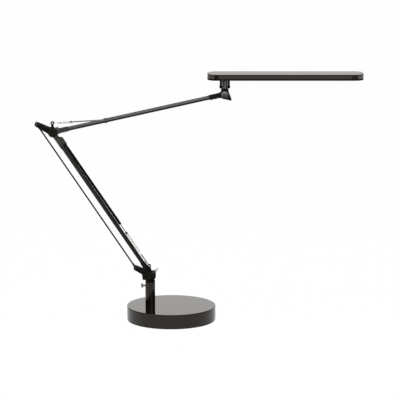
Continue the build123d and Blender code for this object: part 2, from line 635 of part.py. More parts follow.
def least_gap(turns):
    """The least clear distance between turns, measured on points along the wire."""
    steps = 24
    points = [coil_point(0, 2 * step / steps) for step in range(steps * turns)]
    least = COIL_DIAMETER
    for index, point in enumerate(points):
        for other in points[index + steps // 2:index + 3 * steps // 2]:
            least = min(least, (point - other).length)
    return least - WIRE_DIAMETER


def tension_line(eye, anchor):
    """Where the hook sits in the eye's rim, the angle of the pull and the distance to the anchor."""
    across, rise = anchor[0] - eye[0], anchor[1] - eye[1]
    angle = math.degrees(math.atan2(rise, across))
    rim = (EYE_RADIUS + EYE_HOLE_DIAMETER / 2) / 2
    return step_from(eye, rim, angle), angle, math.hypot(across, rise) - rim


def tension_pieces(name, eye, anchor, turns, shank, rod_radius, neck):
    """A coil spring hooked in an eye, and the rod that carries its pull to the anchor stud."""
    hook_spot, angle, length = tension_line(eye, anchor)
    where = placed(hook_spot, angle) * Pos(0, SPRING_Y, 0)
    edges, coil_end = spring_wire(turns, shank)
    section = Plane(origin=edges[0] @ 0, z_dir=edges[0] % 0) * Circle(WIRE_DIAMETER / 2)
    keep(name + "_spring", sweep(section, path=Wire(edges)), where)
    print(name, "spring: least gap between turns", round(least_gap(turns), 3), "mm")

    cap_start = coil_end + WIRE_DIAMETER / 2 + GAP
    plug_radius = COIL_DIAMETER / 2 - WIRE_DIAMETER - GAP
    rod = rod_x(plug_radius, cap_start - ROD_PLUG_LENGTH, cap_start)
    rod += rod_x(COIL_DIAMETER / 2, cap_start, cap_start + ROD_CAP_LENGTH)
    rod += rod_x(ROD_WIRE_DIAMETER / 2, cap_start, length)
    rod += rod_x(rod_radius, cap_start + neck, length - ROD_EYE_RADIUS - BAND_LENGTH / 2)
    rod += pin_y(ROD_EYE_RADIUS, -ROD_EYE_HALF, ROD_EYE_HALF, length)
    rod -= pin_y(STUD_RADIUS + RUNNING, -ROD_EYE_HALF, ROD_EYE_HALF, length)
    keep(name + "_tension_rod", rod, where)


# ---------------------------------------------------------------- neck
NECK_HALF_WIDTH = 8.0
BRIDGE_BOTTOM = 9.2
FLARE_X = 13.6                # the neck plate's lower corner
FLARE_Z = -11.8
NECK_SPIGOT_RADIUS = 3.0
NECK_SPIGOT_HEAD = 4.0
NECK_SPIGOT_HEAD_HEIGHT = 1.2
BARREL_RADIUS = BARREL_DIAMETER / 2
ROLL_PIN_RADIUS = ROLL_PIN_DIAMETER / 2
ROLL_PIN_HEAD = 2.8
ROLL_PIN_HEAD_HEIGHT = 0.8
YOKE_HALF = YOKE_WIDTH / 2
YOKE_PLATE_THICKNESS = 2.0
YOKE_SHOULDER = 5.0           # straight part of each cheek under the head
YOKE_SCREW_RADIUS = 1.5
YOKE_SCREW_HEAD = 2.8
YOKE_SCREW_HEAD_HEIGHT = 1.6
YOKE_SCREW_REACH = 5.0


def neck_pieces():
    """The bracket on the arm's tip, the barrel that turns in it and the yoke that rolls on that."""
    cheek = hull((0, 0, HUB_RADIUS - GAP), (FLARE_X, FLARE_Z, LEDGE))
    cheek += Pos(0, NECK_RISE / 2) * Rectangle(2 * NECK_HALF_WIDTH, NECK_RISE)
    cheek -= Circle(AXLE_RADIUS + SNUG)
    bracket = slab(cheek, -CHEEK_OUTER, -CHEEK_INNER) + slab(cheek, CHEEK_INNER, CHEEK_OUTER)
    bracket += box_between((-NECK_HALF_WIDTH, -CHEEK_INNER, BRIDGE_BOTTOM),
                           (NECK_HALF_WIDTH, CHEEK_INNER, NECK_RISE))
    bracket -= post(NECK_SPIGOT_RADIUS + RUNNING, BRIDGE_BOTTOM, NECK_RISE)
    keep("neck_bracket", bracket, AT_NECK)
    pivot_pieces("neck", AT_NECK, AXLE_RADIUS, TONGUE_HALF + FACE_GAP)

    barrel_bottom = NECK_RISE + FACE_GAP
    head_top = BRIDGE_BOTTOM - FACE_GAP
    barrel = post(BARREL_RADIUS, barrel_bottom, barrel_bottom + BARREL_LENGTH)
    barrel += post(NECK_SPIGOT_RADIUS, head_top, barrel_bottom)
    barrel += post(NECK_SPIGOT_HEAD, head_top - NECK_SPIGOT_HEAD_HEIGHT, head_top)
    roll_line = Pos(0, 0, ROLL_AXIS)
    keep("neck_barrel", barrel - roll_line * rod_x(ROLL_PIN_RADIUS + RUNNING, -YOKE_HALF, YOKE_HALF), AT_NECK)

    shoulder_z = HEAD_RISE - YOKE_SHOULDER
    side = YOKE_DEPTH / 2 - LEDGE
    profile = hull((0, ROLL_AXIS, YOKE_END_RADIUS), (-side, shoulder_z, LEDGE), (side, shoulder_z, LEDGE))
    profile += Pos(0, HEAD_RISE - YOKE_SHOULDER / 2) * Rectangle(YOKE_DEPTH, YOKE_SHOULDER)
    inner = BARREL_RADIUS + GAP
    yoke = slab_x(profile, -YOKE_HALF, -inner) + slab_x(profile, inner, YOKE_HALF)
    yoke += box_between((-YOKE_HALF, -YOKE_DEPTH / 2, HEAD_RISE - YOKE_PLATE_THICKNESS),
                        (YOKE_HALF, YOKE_DEPTH / 2, HEAD_RISE))
    yoke -= roll_line * rod_x(ROLL_PIN_RADIUS + SNUG, -YOKE_HALF, YOKE_HALF)
    pin = rod_x(ROLL_PIN_RADIUS, -YOKE_HALF - ROLL_PIN_HEAD_HEIGHT, YOKE_HALF + ROLL_PIN_HEAD_HEIGHT)
    for low in (-YOKE_HALF - ROLL_PIN_HEAD_HEIGHT, YOKE_HALF):
        pin += rod_x(ROLL_PIN_HEAD, low, low + ROLL_PIN_HEAD_HEIGHT)
    keep("roll_pin", roll_line * pin, AT_NECK)
    screws = []
    for x in (-(YOKE_HALF + inner) / 2, (YOKE_HALF + inner) / 2):
        foot = HEAD_RISE - YOKE_SCREW_REACH
        seat = HEAD_RISE + BEZEL_THICKNESS
        yoke -= post(YOKE_SCREW_RADIUS + SNUG, foot, HEAD_RISE, x)
        screw = post(YOKE_SCREW_RADIUS, foot, seat, x)
        screws.append(screw + post(YOKE_SCREW_HEAD, seat, seat + YOKE_SCREW_HEAD_HEIGHT, x))
    keep("yoke_screws", screws, AT_NECK)
    keep("head_yoke", yoke, AT_NECK)


# ---------------------------------------------------------------- head
LENS_FROM_NEAR_END = 78.0     # the lit window stops short of the yoke and of the button
LENS_FROM_FAR_END = 40.0
LENS_LIP = 2.0
LED_BOARD_Z = 6.0
LED_BOARD_THICKNESS = 1.6
LED_BOARD_DEPTH = 30.0
LED_HEIGHT = 0.8
HEAD_EDGE_ROUND = 0.8
BOSS_RADIUS = 3.0
BOSS_INSET = 12.0
BEZEL_SCREW_RADIUS = 1.2
BEZEL_SCREW_HEAD = 2.2
BEZEL_SCREW_HEAD_HEIGHT = 1.2
BEZEL_SCREW_LENGTH = 8.0
BUTTON_STANDS = 1.2           # how far the button stands out when it isn't pressed
BUTTON_FLANGE = 0.8
SWITCH_SIZE = 11.0
SWITCH_HEIGHT = 5.6
DRIVER_LENGTH = 24.0
DRIVER_DEPTH = 34.0


def driver_pieces(left):
    """The little circuit board beside the yoke, with its parts on it."""
    middle = left + LENS_FROM_NEAR_END - DRIVER_LENGTH / 2 - 2 * LENS_LIP
    board_top = BEZEL_THICKNESS + LED_BOARD_THICKNESS
    board = box_between((middle - DRIVER_LENGTH / 2, -DRIVER_DEPTH / 2, BEZEL_THICKNESS),
                        (middle + DRIVER_LENGTH / 2, DRIVER_DEPTH / 2, board_top))
    capacitor = post(DRIVER_LENGTH / 8, board_top, board_top + LED_BOARD_THICKNESS * 3, middle, -DRIVER_DEPTH / 4)
    chip = box_between((middle - DRIVER_LENGTH / 5, DRIVER_DEPTH / 8, board_top),
                       (middle + DRIVER_LENGTH / 5, DRIVER_DEPTH / 3, board_top + LED_BOARD_THICKNESS))
    return board + capacitor + chip


def head_pieces():
    """The flat head: cover, bezel, lens, lights, driver and push button."""
    where = placed((HEAD_MIDDLE_X, HEAD_BOTTOM))
    left = -HEAD_LENGTH / 2
    right = HEAD_LENGTH / 2
    yoke_x = left + HEAD_OVERHANG
    outline = RectangleRounded(HEAD_LENGTH, HEAD_DEPTH, HEAD_CORNER)
    cavity = RectangleRounded(HEAD_LENGTH - 2 * HEAD_WALL, HEAD_DEPTH - 2 * HEAD_WALL, HEAD_CORNER - HEAD_WALL)
    ceiling = HEAD_THICKNESS - HEAD_WALL
    cover = extrude(Plane.XY.offset(BEZEL_THICKNESS) * outline, amount=HEAD_THICKNESS - BEZEL_THICKNESS)
    cover = fillet(cover.edges().group_by(Axis.Z)[-1], HEAD_EDGE_ROUND)
    cover -= extrude(Plane.XY.offset(BEZEL_THICKNESS) * cavity, amount=ceiling - BEZEL_THICKNESS)
    bezel = extrude(outline, amount=BEZEL_THICKNESS)

    screws = []
    for spot in GridLocations(HEAD_LENGTH - 2 * BOSS_INSET, HEAD_DEPTH - 2 * BOSS_INSET, 2, 2):
        hole = spot * post(BEZEL_SCREW_RADIUS + SNUG, 0, BEZEL_SCREW_LENGTH)
        cover += spot * post(BOSS_RADIUS, BEZEL_THICKNESS, ceiling)
        cover -= hole
        bezel -= hole
        bezel -= spot * post(BEZEL_SCREW_HEAD + SNUG, 0, BEZEL_SCREW_HEAD_HEIGHT)
        shaft = post(BEZEL_SCREW_RADIUS, 0, BEZEL_SCREW_LENGTH)
        screws.append(spot * (shaft + post(BEZEL_SCREW_HEAD, 0, BEZEL_SCREW_HEAD_HEIGHT)))
    keep("head_cover", cover, where)
    keep("bezel_screws", screws, where)

    lens_length = HEAD_LENGTH - LENS_FROM_NEAR_END - LENS_FROM_FAR_END
    lens_depth = HEAD_DEPTH - 2 * HEAD_RIM
    lens_x = left + LENS_FROM_NEAR_END + lens_length / 2
    lens_z = BEZEL_THICKNESS - DIFFUSER_THICKNESS
    window = Pos(lens_x, 0) * RectangleRounded(lens_length, lens_depth, HEAD_RIM)
    seat = Pos(lens_x, 0) * RectangleRounded(lens_length + 2 * LENS_LIP, lens_depth + 2 * LENS_LIP, HEAD_RIM)
    lens = RectangleRounded(lens_length + 2 * LENS_LIP - 2 * SNUG, lens_depth + 2 * LENS_LIP - 2 * SNUG, HEAD_RIM)
    bezel -= extrude(window, amount=BEZEL_THICKNESS)
    bezel -= extrude(Plane.XY.offset(lens_z) * seat, amount=DIFFUSER_THICKNESS)
    button_x = right - BUTTON_FROM_END
    button_radius = BUTTON_DIAMETER / 2
    bezel -= post(button_radius + GAP / 2, 0, BEZEL_THICKNESS, button_x)
    for side in (-1, 1):
        screw_x = yoke_x + side * (YOKE_HALF + BARREL_RADIUS + GAP) / 2
        bezel -= post(YOKE_SCREW_RADIUS + SNUG, 0, BEZEL_THICKNESS, screw_x)
    keep("head_bezel", bezel, where)
    keep("lens", extrude(Plane.XY.offset(lens_z) * Pos(lens_x, 0) * lens, amount=DIFFUSER_THICKNESS), where)

    board_top = LED_BOARD_Z + LED_BOARD_THICKNESS
    half_depth = LED_BOARD_DEPTH / 2
    ends = (lens_x - lens_length / 2, lens_x + lens_length / 2)
    keep("led_board", box_between((ends[0], -half_depth, LED_BOARD_Z), (ends[1], half_depth, board_top)), where)
    keep("heat_spreader", box_between((ends[0], -half_depth, board_top), (ends[1], half_depth, ceiling)), where)
    leds = []
    for spot in GridLocations(lens_length / LED_COUNT, 0, LED_COUNT, 1):
        led = box_between((-LED_SIZE / 2, -LED_SIZE / 2, LED_BOARD_Z - LED_HEIGHT),
                          (LED_SIZE / 2, LED_SIZE / 2, LED_BOARD_Z))
        leds.append(Pos(lens_x, 0, 0) * spot * led)
    keep("leds", leds, where)
    keep("driver_board", driver_pieces(left), where)

    flange_radius = button_radius + LEDGE
    button = post(button_radius, -BUTTON_STANDS, BEZEL_THICKNESS, button_x)
    button += post(flange_radius, BEZEL_THICKNESS, BEZEL_THICKNESS + BUTTON_FLANGE, button_x)
    keep("push_button", button, where)
    room = BEZEL_THICKNESS + BUTTON_FLANGE + BUTTON_TRAVEL + GAP
    half = SWITCH_SIZE / 2
    switch = box_between((button_x - half, -half, BEZEL_THICKNESS),
                         (button_x + half, half, BEZEL_THICKNESS + SWITCH_HEIGHT))
    keep("switch_body", switch - post(flange_radius + GAP, BEZEL_THICKNESS, room, button_x), where)


# ---------------------------------------------------------------- build and write
base_pieces()
column_pieces()
swivel_pieces()
link_pieces()
lower_arm_pieces()
elbow_pieces()
upper_arm_pieces()
neck_pieces()
head_pieces()

for name, shape in NODES.items():
    export_step(shape, "parts/" + name + ".step")
print(len(NODES), "nodes written")
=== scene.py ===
# %% [markdown]
# # A balanced desk lamp, dressed around its CAD frame
# The frame holds every rigid part at its true place and size. This lesson makes the finishes and
# remodels the pieces whose real surface is finer than the CAD solid: lathe-turned parts, the glossy
# base, wound springs and the long flat head.

# %% The frame
import math
import bpy
from mathutils import Matrix, Vector


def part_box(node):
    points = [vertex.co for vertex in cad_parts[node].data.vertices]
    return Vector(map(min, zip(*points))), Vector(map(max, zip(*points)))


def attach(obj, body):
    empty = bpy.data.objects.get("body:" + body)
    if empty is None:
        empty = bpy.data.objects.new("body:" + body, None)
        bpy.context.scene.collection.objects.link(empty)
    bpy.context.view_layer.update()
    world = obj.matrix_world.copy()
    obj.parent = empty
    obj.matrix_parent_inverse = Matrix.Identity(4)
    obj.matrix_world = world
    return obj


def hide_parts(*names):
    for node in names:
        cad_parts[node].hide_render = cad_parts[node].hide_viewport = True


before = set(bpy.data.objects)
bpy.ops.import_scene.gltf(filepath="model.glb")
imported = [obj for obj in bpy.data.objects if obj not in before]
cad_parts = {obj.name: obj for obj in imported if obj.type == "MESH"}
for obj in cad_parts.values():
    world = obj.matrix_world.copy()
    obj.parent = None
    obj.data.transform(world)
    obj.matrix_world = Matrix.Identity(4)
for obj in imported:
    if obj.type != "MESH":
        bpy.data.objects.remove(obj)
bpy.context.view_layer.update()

# %% [markdown]
# ## Places that the CAD gives
# Every pivot is the middle of an axle's box, so nothing here has to repeat the lamp's proportions.
# Lengths are in metres, and MM keeps small sizes readable. Each arm also gives the way along it, the
# way across it, and its angle above the lamp's +X.

# %% Pivots and directions
MM = 0.001


def middle(node):
    """The centre of a CAD node's box."""
    low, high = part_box(node)
    return (low + high) / 2


def underside(node):
    """The middle of the underside of a CAD node's box."""
    low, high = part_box(node)
    return Vector(((low.x + high.x) / 2, (low.y + high.y) / 2, low.z))


def sides_of(node):
    """The three sides of a CAD node's box, in millimetres."""
    low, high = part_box(node)
    return [(end - start) / MM for start, end in zip(low, high)]


ELBOW = middle("elbow_axle")
NECK = middle("neck_axle")
KNEE = middle("knee_axle")
KNEE.y = ELBOW.y
LOWER_WAY = (ELBOW - KNEE).normalized()
UPPER_WAY = (NECK - ELBOW).normalized()
ACROSS_LOWER = Vector((-LOWER_WAY.z, 0, LOWER_WAY.x))
ACROSS_UPPER = Vector((-UPPER_WAY.z, 0, UPPER_WAY.x))
LOWER_ANGLE = math.atan2(LOWER_WAY.z, LOWER_WAY.x)
UPPER_ANGLE = math.atan2(UPPER_WAY.z, UPPER_WAY.x)
UPPER_LENGTH = (NECK - ELBOW).length / MM
print("knee to elbow", round((ELBOW - KNEE).length / MM, 1), "mm")
print("elbow to neck", round(UPPER_LENGTH, 1), "mm")

# %% [markdown]
# ## The camera
# The lamp was photographed from some way off with a long lens, a little above the desk. The height
# of the base's ellipse gives the tilt there, and the thin top of the head gives it higher up.

# %% Camera
CAMERA_PLACE = Vector((0.0616, -6.0, 1.444))
CAMERA_TILT = math.radians(11.156)
LENS = 258.2
SENSOR = 36.0

bpy.ops.object.camera_add(location=CAMERA_PLACE, rotation=(math.pi / 2 - CAMERA_TILT, 0, 0))
camera = bpy.context.object
camera.name = "camera"
camera.data.lens = LENS
camera.data.sensor_width = SENSOR
camera.data.clip_end = 100
bpy.context.scene.camera = camera
bpy.context.scene.view_settings.view_transform = "Standard"
print("camera", round(CAMERA_PLACE.length, 2), "m away")

# %% [markdown]
# ## Shader maths written as expressions
# A procedural finish is a sum of patterns. Wrapping each socket in a small class lets the sums be
# written with plus and times, and every other node comes from one method.

# %% The Signal class


class Signal:
    """An output socket of a shader node, on which arithmetic works."""

    def __init__(self, tree, socket=None):
        self.tree = tree
        self.socket = socket

    def node(self, kind, settings=None, values=None, out=0):
        """A new node of a type: first its settings, then its sockets. A colour gets its alpha here."""
        made = self.tree.nodes.new("ShaderNode" + kind)
        for key, value in (settings or {}).items():
            setattr(made, key, value)
        for key, value in (values or {}).items():
            entry = made.inputs[key]
            if isinstance(value, Signal):
                self.tree.links.new(value.socket, entry)
            elif entry.type == "RGBA":
                entry.default_value = (*value, 1.0)
            else:
                entry.default_value = value
        return Signal(self.tree, made.outputs[out] if made.outputs else None)

    def maths(self, operation, first, second):
        """A Math node on two values or signals."""
        return self.node("Math", {"operation": operation}, {0: first, 1: second})

    def __add__(self, other):
        return self.maths("ADD", self, other)

    __radd__ = __add__

    def __mul__(self, other):
        return self.maths("MULTIPLY", self, other)

    __rmul__ = __mul__

    def __sub__(self, other):
        return self.maths("SUBTRACT", self, other)

    def __rsub__(self, other):
        return self.maths("SUBTRACT", other, self)

    def above(self, limit, softness):
        """0 below a limit and 1 above it, with a soft step between."""
        settings = {"interpolation_type": "SMOOTHSTEP"}
        return self.node("MapRange", settings, {0: self, 1: limit - softness, 2: limit + softness})

    def mix(self, low, high):
        """Two colours mixed by this signal."""
        return self.node("Mix", {"data_type": "RGBA"}, {0: self, 6: low, 7: high}, out=2)


# %% [markdown]
# ## One starting point for every finish
# Each material reads Object coordinates. The pieces all sit at the origin, so one metre of pattern
# is one metre of lamp, and a grain given in millimetres has that size everywhere.

# %% Material helpers


def blank(name):
    """A new material, and the place on the piece as a signal."""
    material = bpy.data.materials.new(name)
    material.use_nodes = True
    material.node_tree.nodes.clear()
    return material, Signal(material.node_tree).node("TexCoord", out="Object")


def grain(place, size, detail=2.0, rough=0.5):
    """Cloudy noise whose blobs are about a size across."""
    return place.node("TexNoise", None, {
        "Vector": place, "Scale": 1 / size, "Detail": detail, "Roughness": rough,
    })


def stretched(place, x, y, z):
    """The place, scaled differently along each axis."""
    return place.node("Mapping", None, {"Vector": place, "Scale": (x, y, z)})


def travelled(place, origin, way):
    """How far a place lies from an origin in a direction, in metres."""
    dot = place.node("VectorMath", {"operation": "DOT_PRODUCT"}, {0: place, 1: way}, out="Value")
    return dot - origin.dot(way)


def bumped(height, depth):
    """A normal from a height between 0 and 1, worth a depth in metres."""
    return height.node("Bump", None, {"Distance": depth, "Height": height})


def surfaced(material, shader):
    """The material with a shader on its output."""
    shader.node("OutputMaterial", None, {"Surface": shader})
    return material


def finished(material, **values):
    """The surface shader, given its sockets by name, and the output."""
    sockets = {key.replace("_", " "): value for key, value in values.items()}
    shader = Signal(material.node_tree).node("BsdfPrincipled", None, sockets)
    print("finish:", material.name)
    return surfaced(material, shader)


# %% [markdown]
# ## Lacquer, paint and moulded plastic
# The base and the head carry a black gloss lacquer: almost no colour of its own, so what shows is
# the room in it, a little warm. A faint orange peel, a few dust specks and slow changes of gloss keep
# it from looking like glass. The column and brackets have a duller paint, and the moulded ends a fine
# grain. The arms' black paint carries painted light: a grey painted highlight runs along the lit side
# of each tube, and the rest of it is painted shade.
# Each recipe takes a dark and a light tone, a roughness, and an index of refraction that sets how
# strongly the surface mirrors the room.

# %% Lacquer
WARM = (1.0, 0.90, 0.82)
PEEL = 0.003 * MM
DUST = (0.16, 0.15, 0.14)


def lacquer(name, dark, light, gloss, ior):
    """A gloss lacquer with orange peel, dust specks and slow changes of gloss."""
    material, place = blank(name)
    slow = grain(place, 45 * MM, 3.0)
    smudge = grain(place, 9 * MM, 4.0, 0.6).above(0.60, 0.12)
    specks = grain(place, 0.9 * MM, 0.0).above(0.80, 0.03)
    fine = grain(place, 1.6 * MM, 1.0)
    tone = slow.mix(dark, light)
    return finished(
        material,
        Base_Color=(specks * 0.5).mix(tone, DUST),
        Roughness=gloss + slow * 0.03 + smudge * 0.04 + specks * 0.3,
        IOR=ior, Specular_Tint=WARM, Normal=bumped(fine + specks * 0.6, PEEL),
    )


base_lacquer = lacquer("gloss_lacquer", (0.0016, 0.0012, 0.0009), (0.0034, 0.0024, 0.0018), 0.03, 1.44)
head_lacquer = lacquer("head_lacquer", (0.0035, 0.0028, 0.0023), (0.0070, 0.0056, 0.0045), 0.10, 1.24)

# %% Paint
CHALK = (0.022, 0.019, 0.017)
STIPPLE = 0.004 * MM


def paint(name, dark, light, gloss, ior):
    """A semi-gloss paint: a fine stipple, a little chalky where it is handled."""
    material, place = blank(name)
    slow = grain(place, 22 * MM, 3.0)
    stipple = grain(place, 0.55 * MM, 2.0)
    rubbed = grain(place, 5 * MM, 5.0, 0.65).above(0.62, 0.08)
    tone = slow.mix(dark, light)
    return finished(
        material,
        Base_Color=(rubbed * 0.3).mix(tone, CHALK),
        Roughness=gloss + slow * 0.06 + rubbed * 0.10,
        IOR=ior, Specular_Tint=WARM, Normal=bumped(stipple, STIPPLE),
    )


def tube_paint_with_painted_light(name, pivot, across, highlight_band, dark, light, end=None):
    """A tube's black matt paint with painted light: a grey painted highlight in a band across it, and painted
    shade beside it. Up to an end, the painted highlight grows.
    """
    material, place = blank(name)
    offset = travelled(place, pivot, across)
    low, high = highlight_band
    soft = 0.5 * MM
    stipple = grain(place, 0.6 * MM, 2.0)
    slow = grain(place, 16 * MM, 3.0)
    # Painted light: the grey band across the tube is a painted highlight on its lit side, and the black beside
    # it is painted shade.
    painted_highlight = offset.above(low * MM, soft) * (1 - offset.above(high * MM, soft))
    # Towards the end, the painted highlight brightens.
    if end is not None:
        reach = end - pivot
        travel = travelled(place, pivot, reach.normalized())
        painted_highlight = painted_highlight * (0.22 + travel * (0.78 / reach.length))
    tone = slow.mix(dark, light)
    return finished(
        material,
        Base_Color=(painted_highlight * (0.9 + stipple * 0.2)).mix((0.0020, 0.0017, 0.0015), tone),
        Roughness=0.42 - painted_highlight * 0.12 + slow * 0.06,
        IOR=1.22, Normal=bumped(stipple, STIPPLE),
    )


tube_paint = paint("tube_paint", (0.0018, 0.0014, 0.0012), (0.0040, 0.0032, 0.0027), 0.10, 1.42)
bracket_paint = paint("bracket_paint", (0.0022, 0.0019, 0.0017), (0.0050, 0.0042, 0.0037), 0.30, 1.20)
rod_paint = paint("rod_paint", (0.0016, 0.0014, 0.0012), (0.0034, 0.0030, 0.0026), 0.45, 1.10)
# The tubes' grey bands are painted highlights, and their black sides are painted shade.
lower_painted_light = tube_paint_with_painted_light(
    "lower_tube_painted_light", KNEE, ACROSS_LOWER, (-3.8, 2.3), (0.038, 0.034, 0.031), (0.056, 0.050, 0.045), ELBOW,
)
upper_painted_light = tube_paint_with_painted_light(
    "upper_tube_painted_light", ELBOW, ACROSS_UPPER, (-0.4, 3.8), (0.110, 0.106, 0.101), (0.145, 0.140, 0.134),
)
head_dark = paint("head_dark", (0.0040, 0.0034, 0.0030), (0.0080, 0.0066, 0.0056), 0.30, 1.28)
side_band = paint("side_band", (0.010, 0.0085, 0.0070), (0.018, 0.0150, 0.0120), 0.20, 1.48)
near_panel = paint("near_panel", (0.026, 0.0225, 0.0200), (0.038, 0.0330, 0.0290), 0.24, 1.5)

# %% Moulded plastic


def moulded(name, dark, light, rough, ior=1.4):
    """A spark-eroded mould grain, as on the arms' end pieces."""
    material, place = blank(name)
    slow = grain(place, 14 * MM, 2.0)
    pits = place.node("TexVoronoi", {"feature": "F1"}, {"Vector": place, "Scale": 1 / (0.5 * MM)})
    return finished(
        material,
        Base_Color=slow.mix(dark, light),
        Roughness=rough + slow * 0.12,
        IOR=ior, Normal=bumped(pits, 0.02 * MM),
    )


black_moulding = moulded("black_moulding", (0.0030, 0.0027, 0.0024), (0.0070, 0.0060, 0.0053), 0.34, 1.24)
# A lighter grey copy of the black moulding: a painted highlight on the arm ends at the elbow and on the stud
# web.
moulding_painted_highlight = moulded("moulding_painted_highlight", (0.022, 0.021, 0.019), (0.060, 0.057, 0.052), 0.32, 1.34)
cap_moulding = moulded("cap_moulding", (0.0030, 0.0030, 0.0022), (0.0075, 0.0072, 0.0055), 0.24, 1.20)
side_inlay = moulded("side_inlay", (0.0030, 0.0028, 0.0026), (0.0060, 0.0055, 0.0050), 0.45, 1.18)
nylon = moulded("nylon", (0.70, 0.69, 0.65), (0.80, 0.79, 0.75), 0.45)

# %% Silver with a painted top highlight, and ribbed ends
WAVE = 0.314  # metres from wave to wave in a Wave texture of scale 1


def silver_with_painted_top_light():
    """The neck's cover: black under a coarse silver mottle, which grows towards the top as a painted highlight
    from above.
    """
    material, place = blank("silver_with_painted_top_light")
    height = 18 * MM
    rise = place.node("SeparateXYZ", None, {0: place}, out="Z") - (NECK.z - height / 2)
    # Painted highlight: the cover is lighter towards the top, as if lit from above.
    painted_top_light = (rise * (1 / height)).above(0.72, 0.42)
    spray = grain(place, 0.8 * MM, 3.0, 0.7)
    cloud = grain(place, 3.5 * MM, 2.0)
    points = {0: stretched(place, 1, 0, 1), 1: (NECK.x, 0, NECK.z)}
    from_axle = place.node("VectorMath", {"operation": "DISTANCE"}, points, out="Value")
    rim = from_axle.above(7.6 * MM, 0.5 * MM)
    # The silver share: coarse spray and mottle, plus the painted highlight at the top. The rim stays black.
    silver_and_painted_light = (painted_top_light * 0.85 + spray * 0.25 - 0.10 + cloud * 0.12) * (1 - rim)
    return finished(
        material,
        Base_Color=silver_and_painted_light.mix((0.006, 0.0055, 0.005), (0.44, 0.43, 0.41)),
        Metallic=0.15, Roughness=0.42 + spray * 0.15,
        IOR=1.3, Normal=bumped(spray, 0.03 * MM),
    )


def ribbed():
    """The head's far end: grey, with fine ribs that run round it."""
    material, place = blank("far_ribs")
    ribs = place.node("TexWave", {"bands_direction": "Z"}, {"Vector": place, "Scale": WAVE / (1.3 * MM)})
    slow = grain(place, 12 * MM, 2.0)
    tone = (ribs * 0.7 + slow * 0.3).mix((0.045, 0.041, 0.038), (0.13, 0.12, 0.115))
    return finished(
        material, Base_Color=tone, Roughness=0.26 + slow * 0.1, Normal=bumped(ribs, 0.12 * MM),
    )


cover_with_painted_top_light = silver_with_painted_top_light()
far_ribs = ribbed()

# %% [markdown]
# ## Bare metals
# The springs are pale drawn wire, the column's hand screw is plated and mirror-like, the lever nuts are
# satin zinc, and the hidden bolt and axles are turned steel. One recipe serves all: it takes two tones,
# a roughness and the spacing of the tool lines.

# %% Metals


def metal(name, dark, light, gloss, line, depth=0.01 * MM):
    """A bare metal with tool lines and a light haze."""
    material, place = blank(name)
    haze = grain(place, 6 * MM, 4.0, 0.6)
    lines = grain(stretched(place, 1.0, 1.0, 9.0), line, 3.0)
    return finished(
        material,
        Base_Color=haze.mix(dark, light),
        Metallic=1.0,
        Roughness=gloss + haze * 0.10 + lines * 0.06,
        Normal=bumped(lines, depth),
    )


chrome = metal("chrome_plate", (0.22, 0.22, 0.23), (0.34, 0.34, 0.35), 0.10, 3 * MM, 0.004 * MM)
satin_zinc = metal("satin_zinc", (0.80, 0.80, 0.79), (0.90, 0.90, 0.89), 0.32, 2 * MM, 0.004 * MM)
spring_steel = metal("spring_wire", (0.82, 0.81, 0.78), (0.94, 0.93, 0.90), 0.34, 1.2 * MM)
turned_steel = metal("turned_steel", (0.42, 0.42, 0.43), (0.58, 0.58, 0.58), 0.24, 0.8 * MM)
barrel_metal = metal("barrel_metal", (0.09, 0.086, 0.082), (0.15, 0.143, 0.135), 0.34, 0.8 * MM)
dull_steel = metal("dull_steel", (0.16, 0.155, 0.15), (0.26, 0.25, 0.24), 0.30, 0.8 * MM)
dyed_zinc = metal("dyed_zinc", (0.16, 0.055, 0.045), (0.26, 0.11, 0.09), 0.30, 0.8 * MM)
mill_aluminium = metal("mill_aluminium", (0.66, 0.66, 0.67), (0.78, 0.78, 0.79), 0.30, 0.7 * MM)


def cast_iron():
    """The weight inside the base, rough from the sand."""
    material, place = blank("cast_iron")
    sand = grain(place, 1.4 * MM, 6.0, 0.7)
    return finished(
        material,
        Base_Color=sand.mix((0.05, 0.048, 0.046), (0.13, 0.125, 0.12)),
        Metallic=0.7, Roughness=0.55 + sand * 0.25, Normal=bumped(sand, 0.3 * MM),
    )


weight_iron = cast_iron()

# %% [markdown]
# ## Rubber, lens and circuit boards
# The pad under the base is ribbed rubber. The lens is an opal sheet with a fine grid of prisms. The
# boards inside the head are only seen if the lens comes off, but they get their own finishes too.

# %% Soft and clear materials


def rubber():
    """Matt rubber with a bloom."""
    material, place = blank("foot_rubber")
    bloom = grain(place, 7 * MM, 4.0)
    return finished(
        material,
        Base_Color=bloom.mix((0.018, 0.018, 0.018), (0.035, 0.034, 0.033)),
        Roughness=0.72 + bloom * 0.15, Normal=bumped(grain(place, 0.7 * MM), 0.05 * MM),
    )


def opal():
    """The opal lens: white, with a grid of small prisms."""
    material, place = blank("opal_lens")
    scaled = {"Vector": place, "Scale": 1 / (6 * MM)}
    across, along = (place.node("TexWave", {"bands_direction": axis}, scaled) for axis in "XY")
    haze = grain(place, 20 * MM)
    return finished(
        material,
        Base_Color=haze.mix((0.80, 0.80, 0.77), (0.88, 0.88, 0.85)),
        Roughness=0.28 + haze * 0.08, Normal=bumped(across + along, 0.05 * MM),
    )


def board(name, base, copper):
    """Solder mask over copper tracks."""
    material, place = blank(name)
    tracks = place.node("TexBrick", {"offset": 0.5}, {
        "Vector": place, "Scale": 1 / (6 * MM), "Mortar Size": 0.08,
    }, out="Fac")
    return finished(
        material,
        Base_Color=tracks.mix(base, copper),
        Roughness=0.35 + tracks * 0.1, Normal=bumped(tracks, 0.03 * MM),
    )


def phosphor():
    """The yellow gel over each light."""
    material, place = blank("led_phosphor")
    gel = grain(place, 1 * MM, 2.0)
    return finished(
        material,
        Base_Color=gel.mix((0.75, 0.58, 0.12), (0.85, 0.70, 0.22)),
        Roughness=0.20 + gel * 0.1, Normal=bumped(gel, 0.05 * MM),
    )


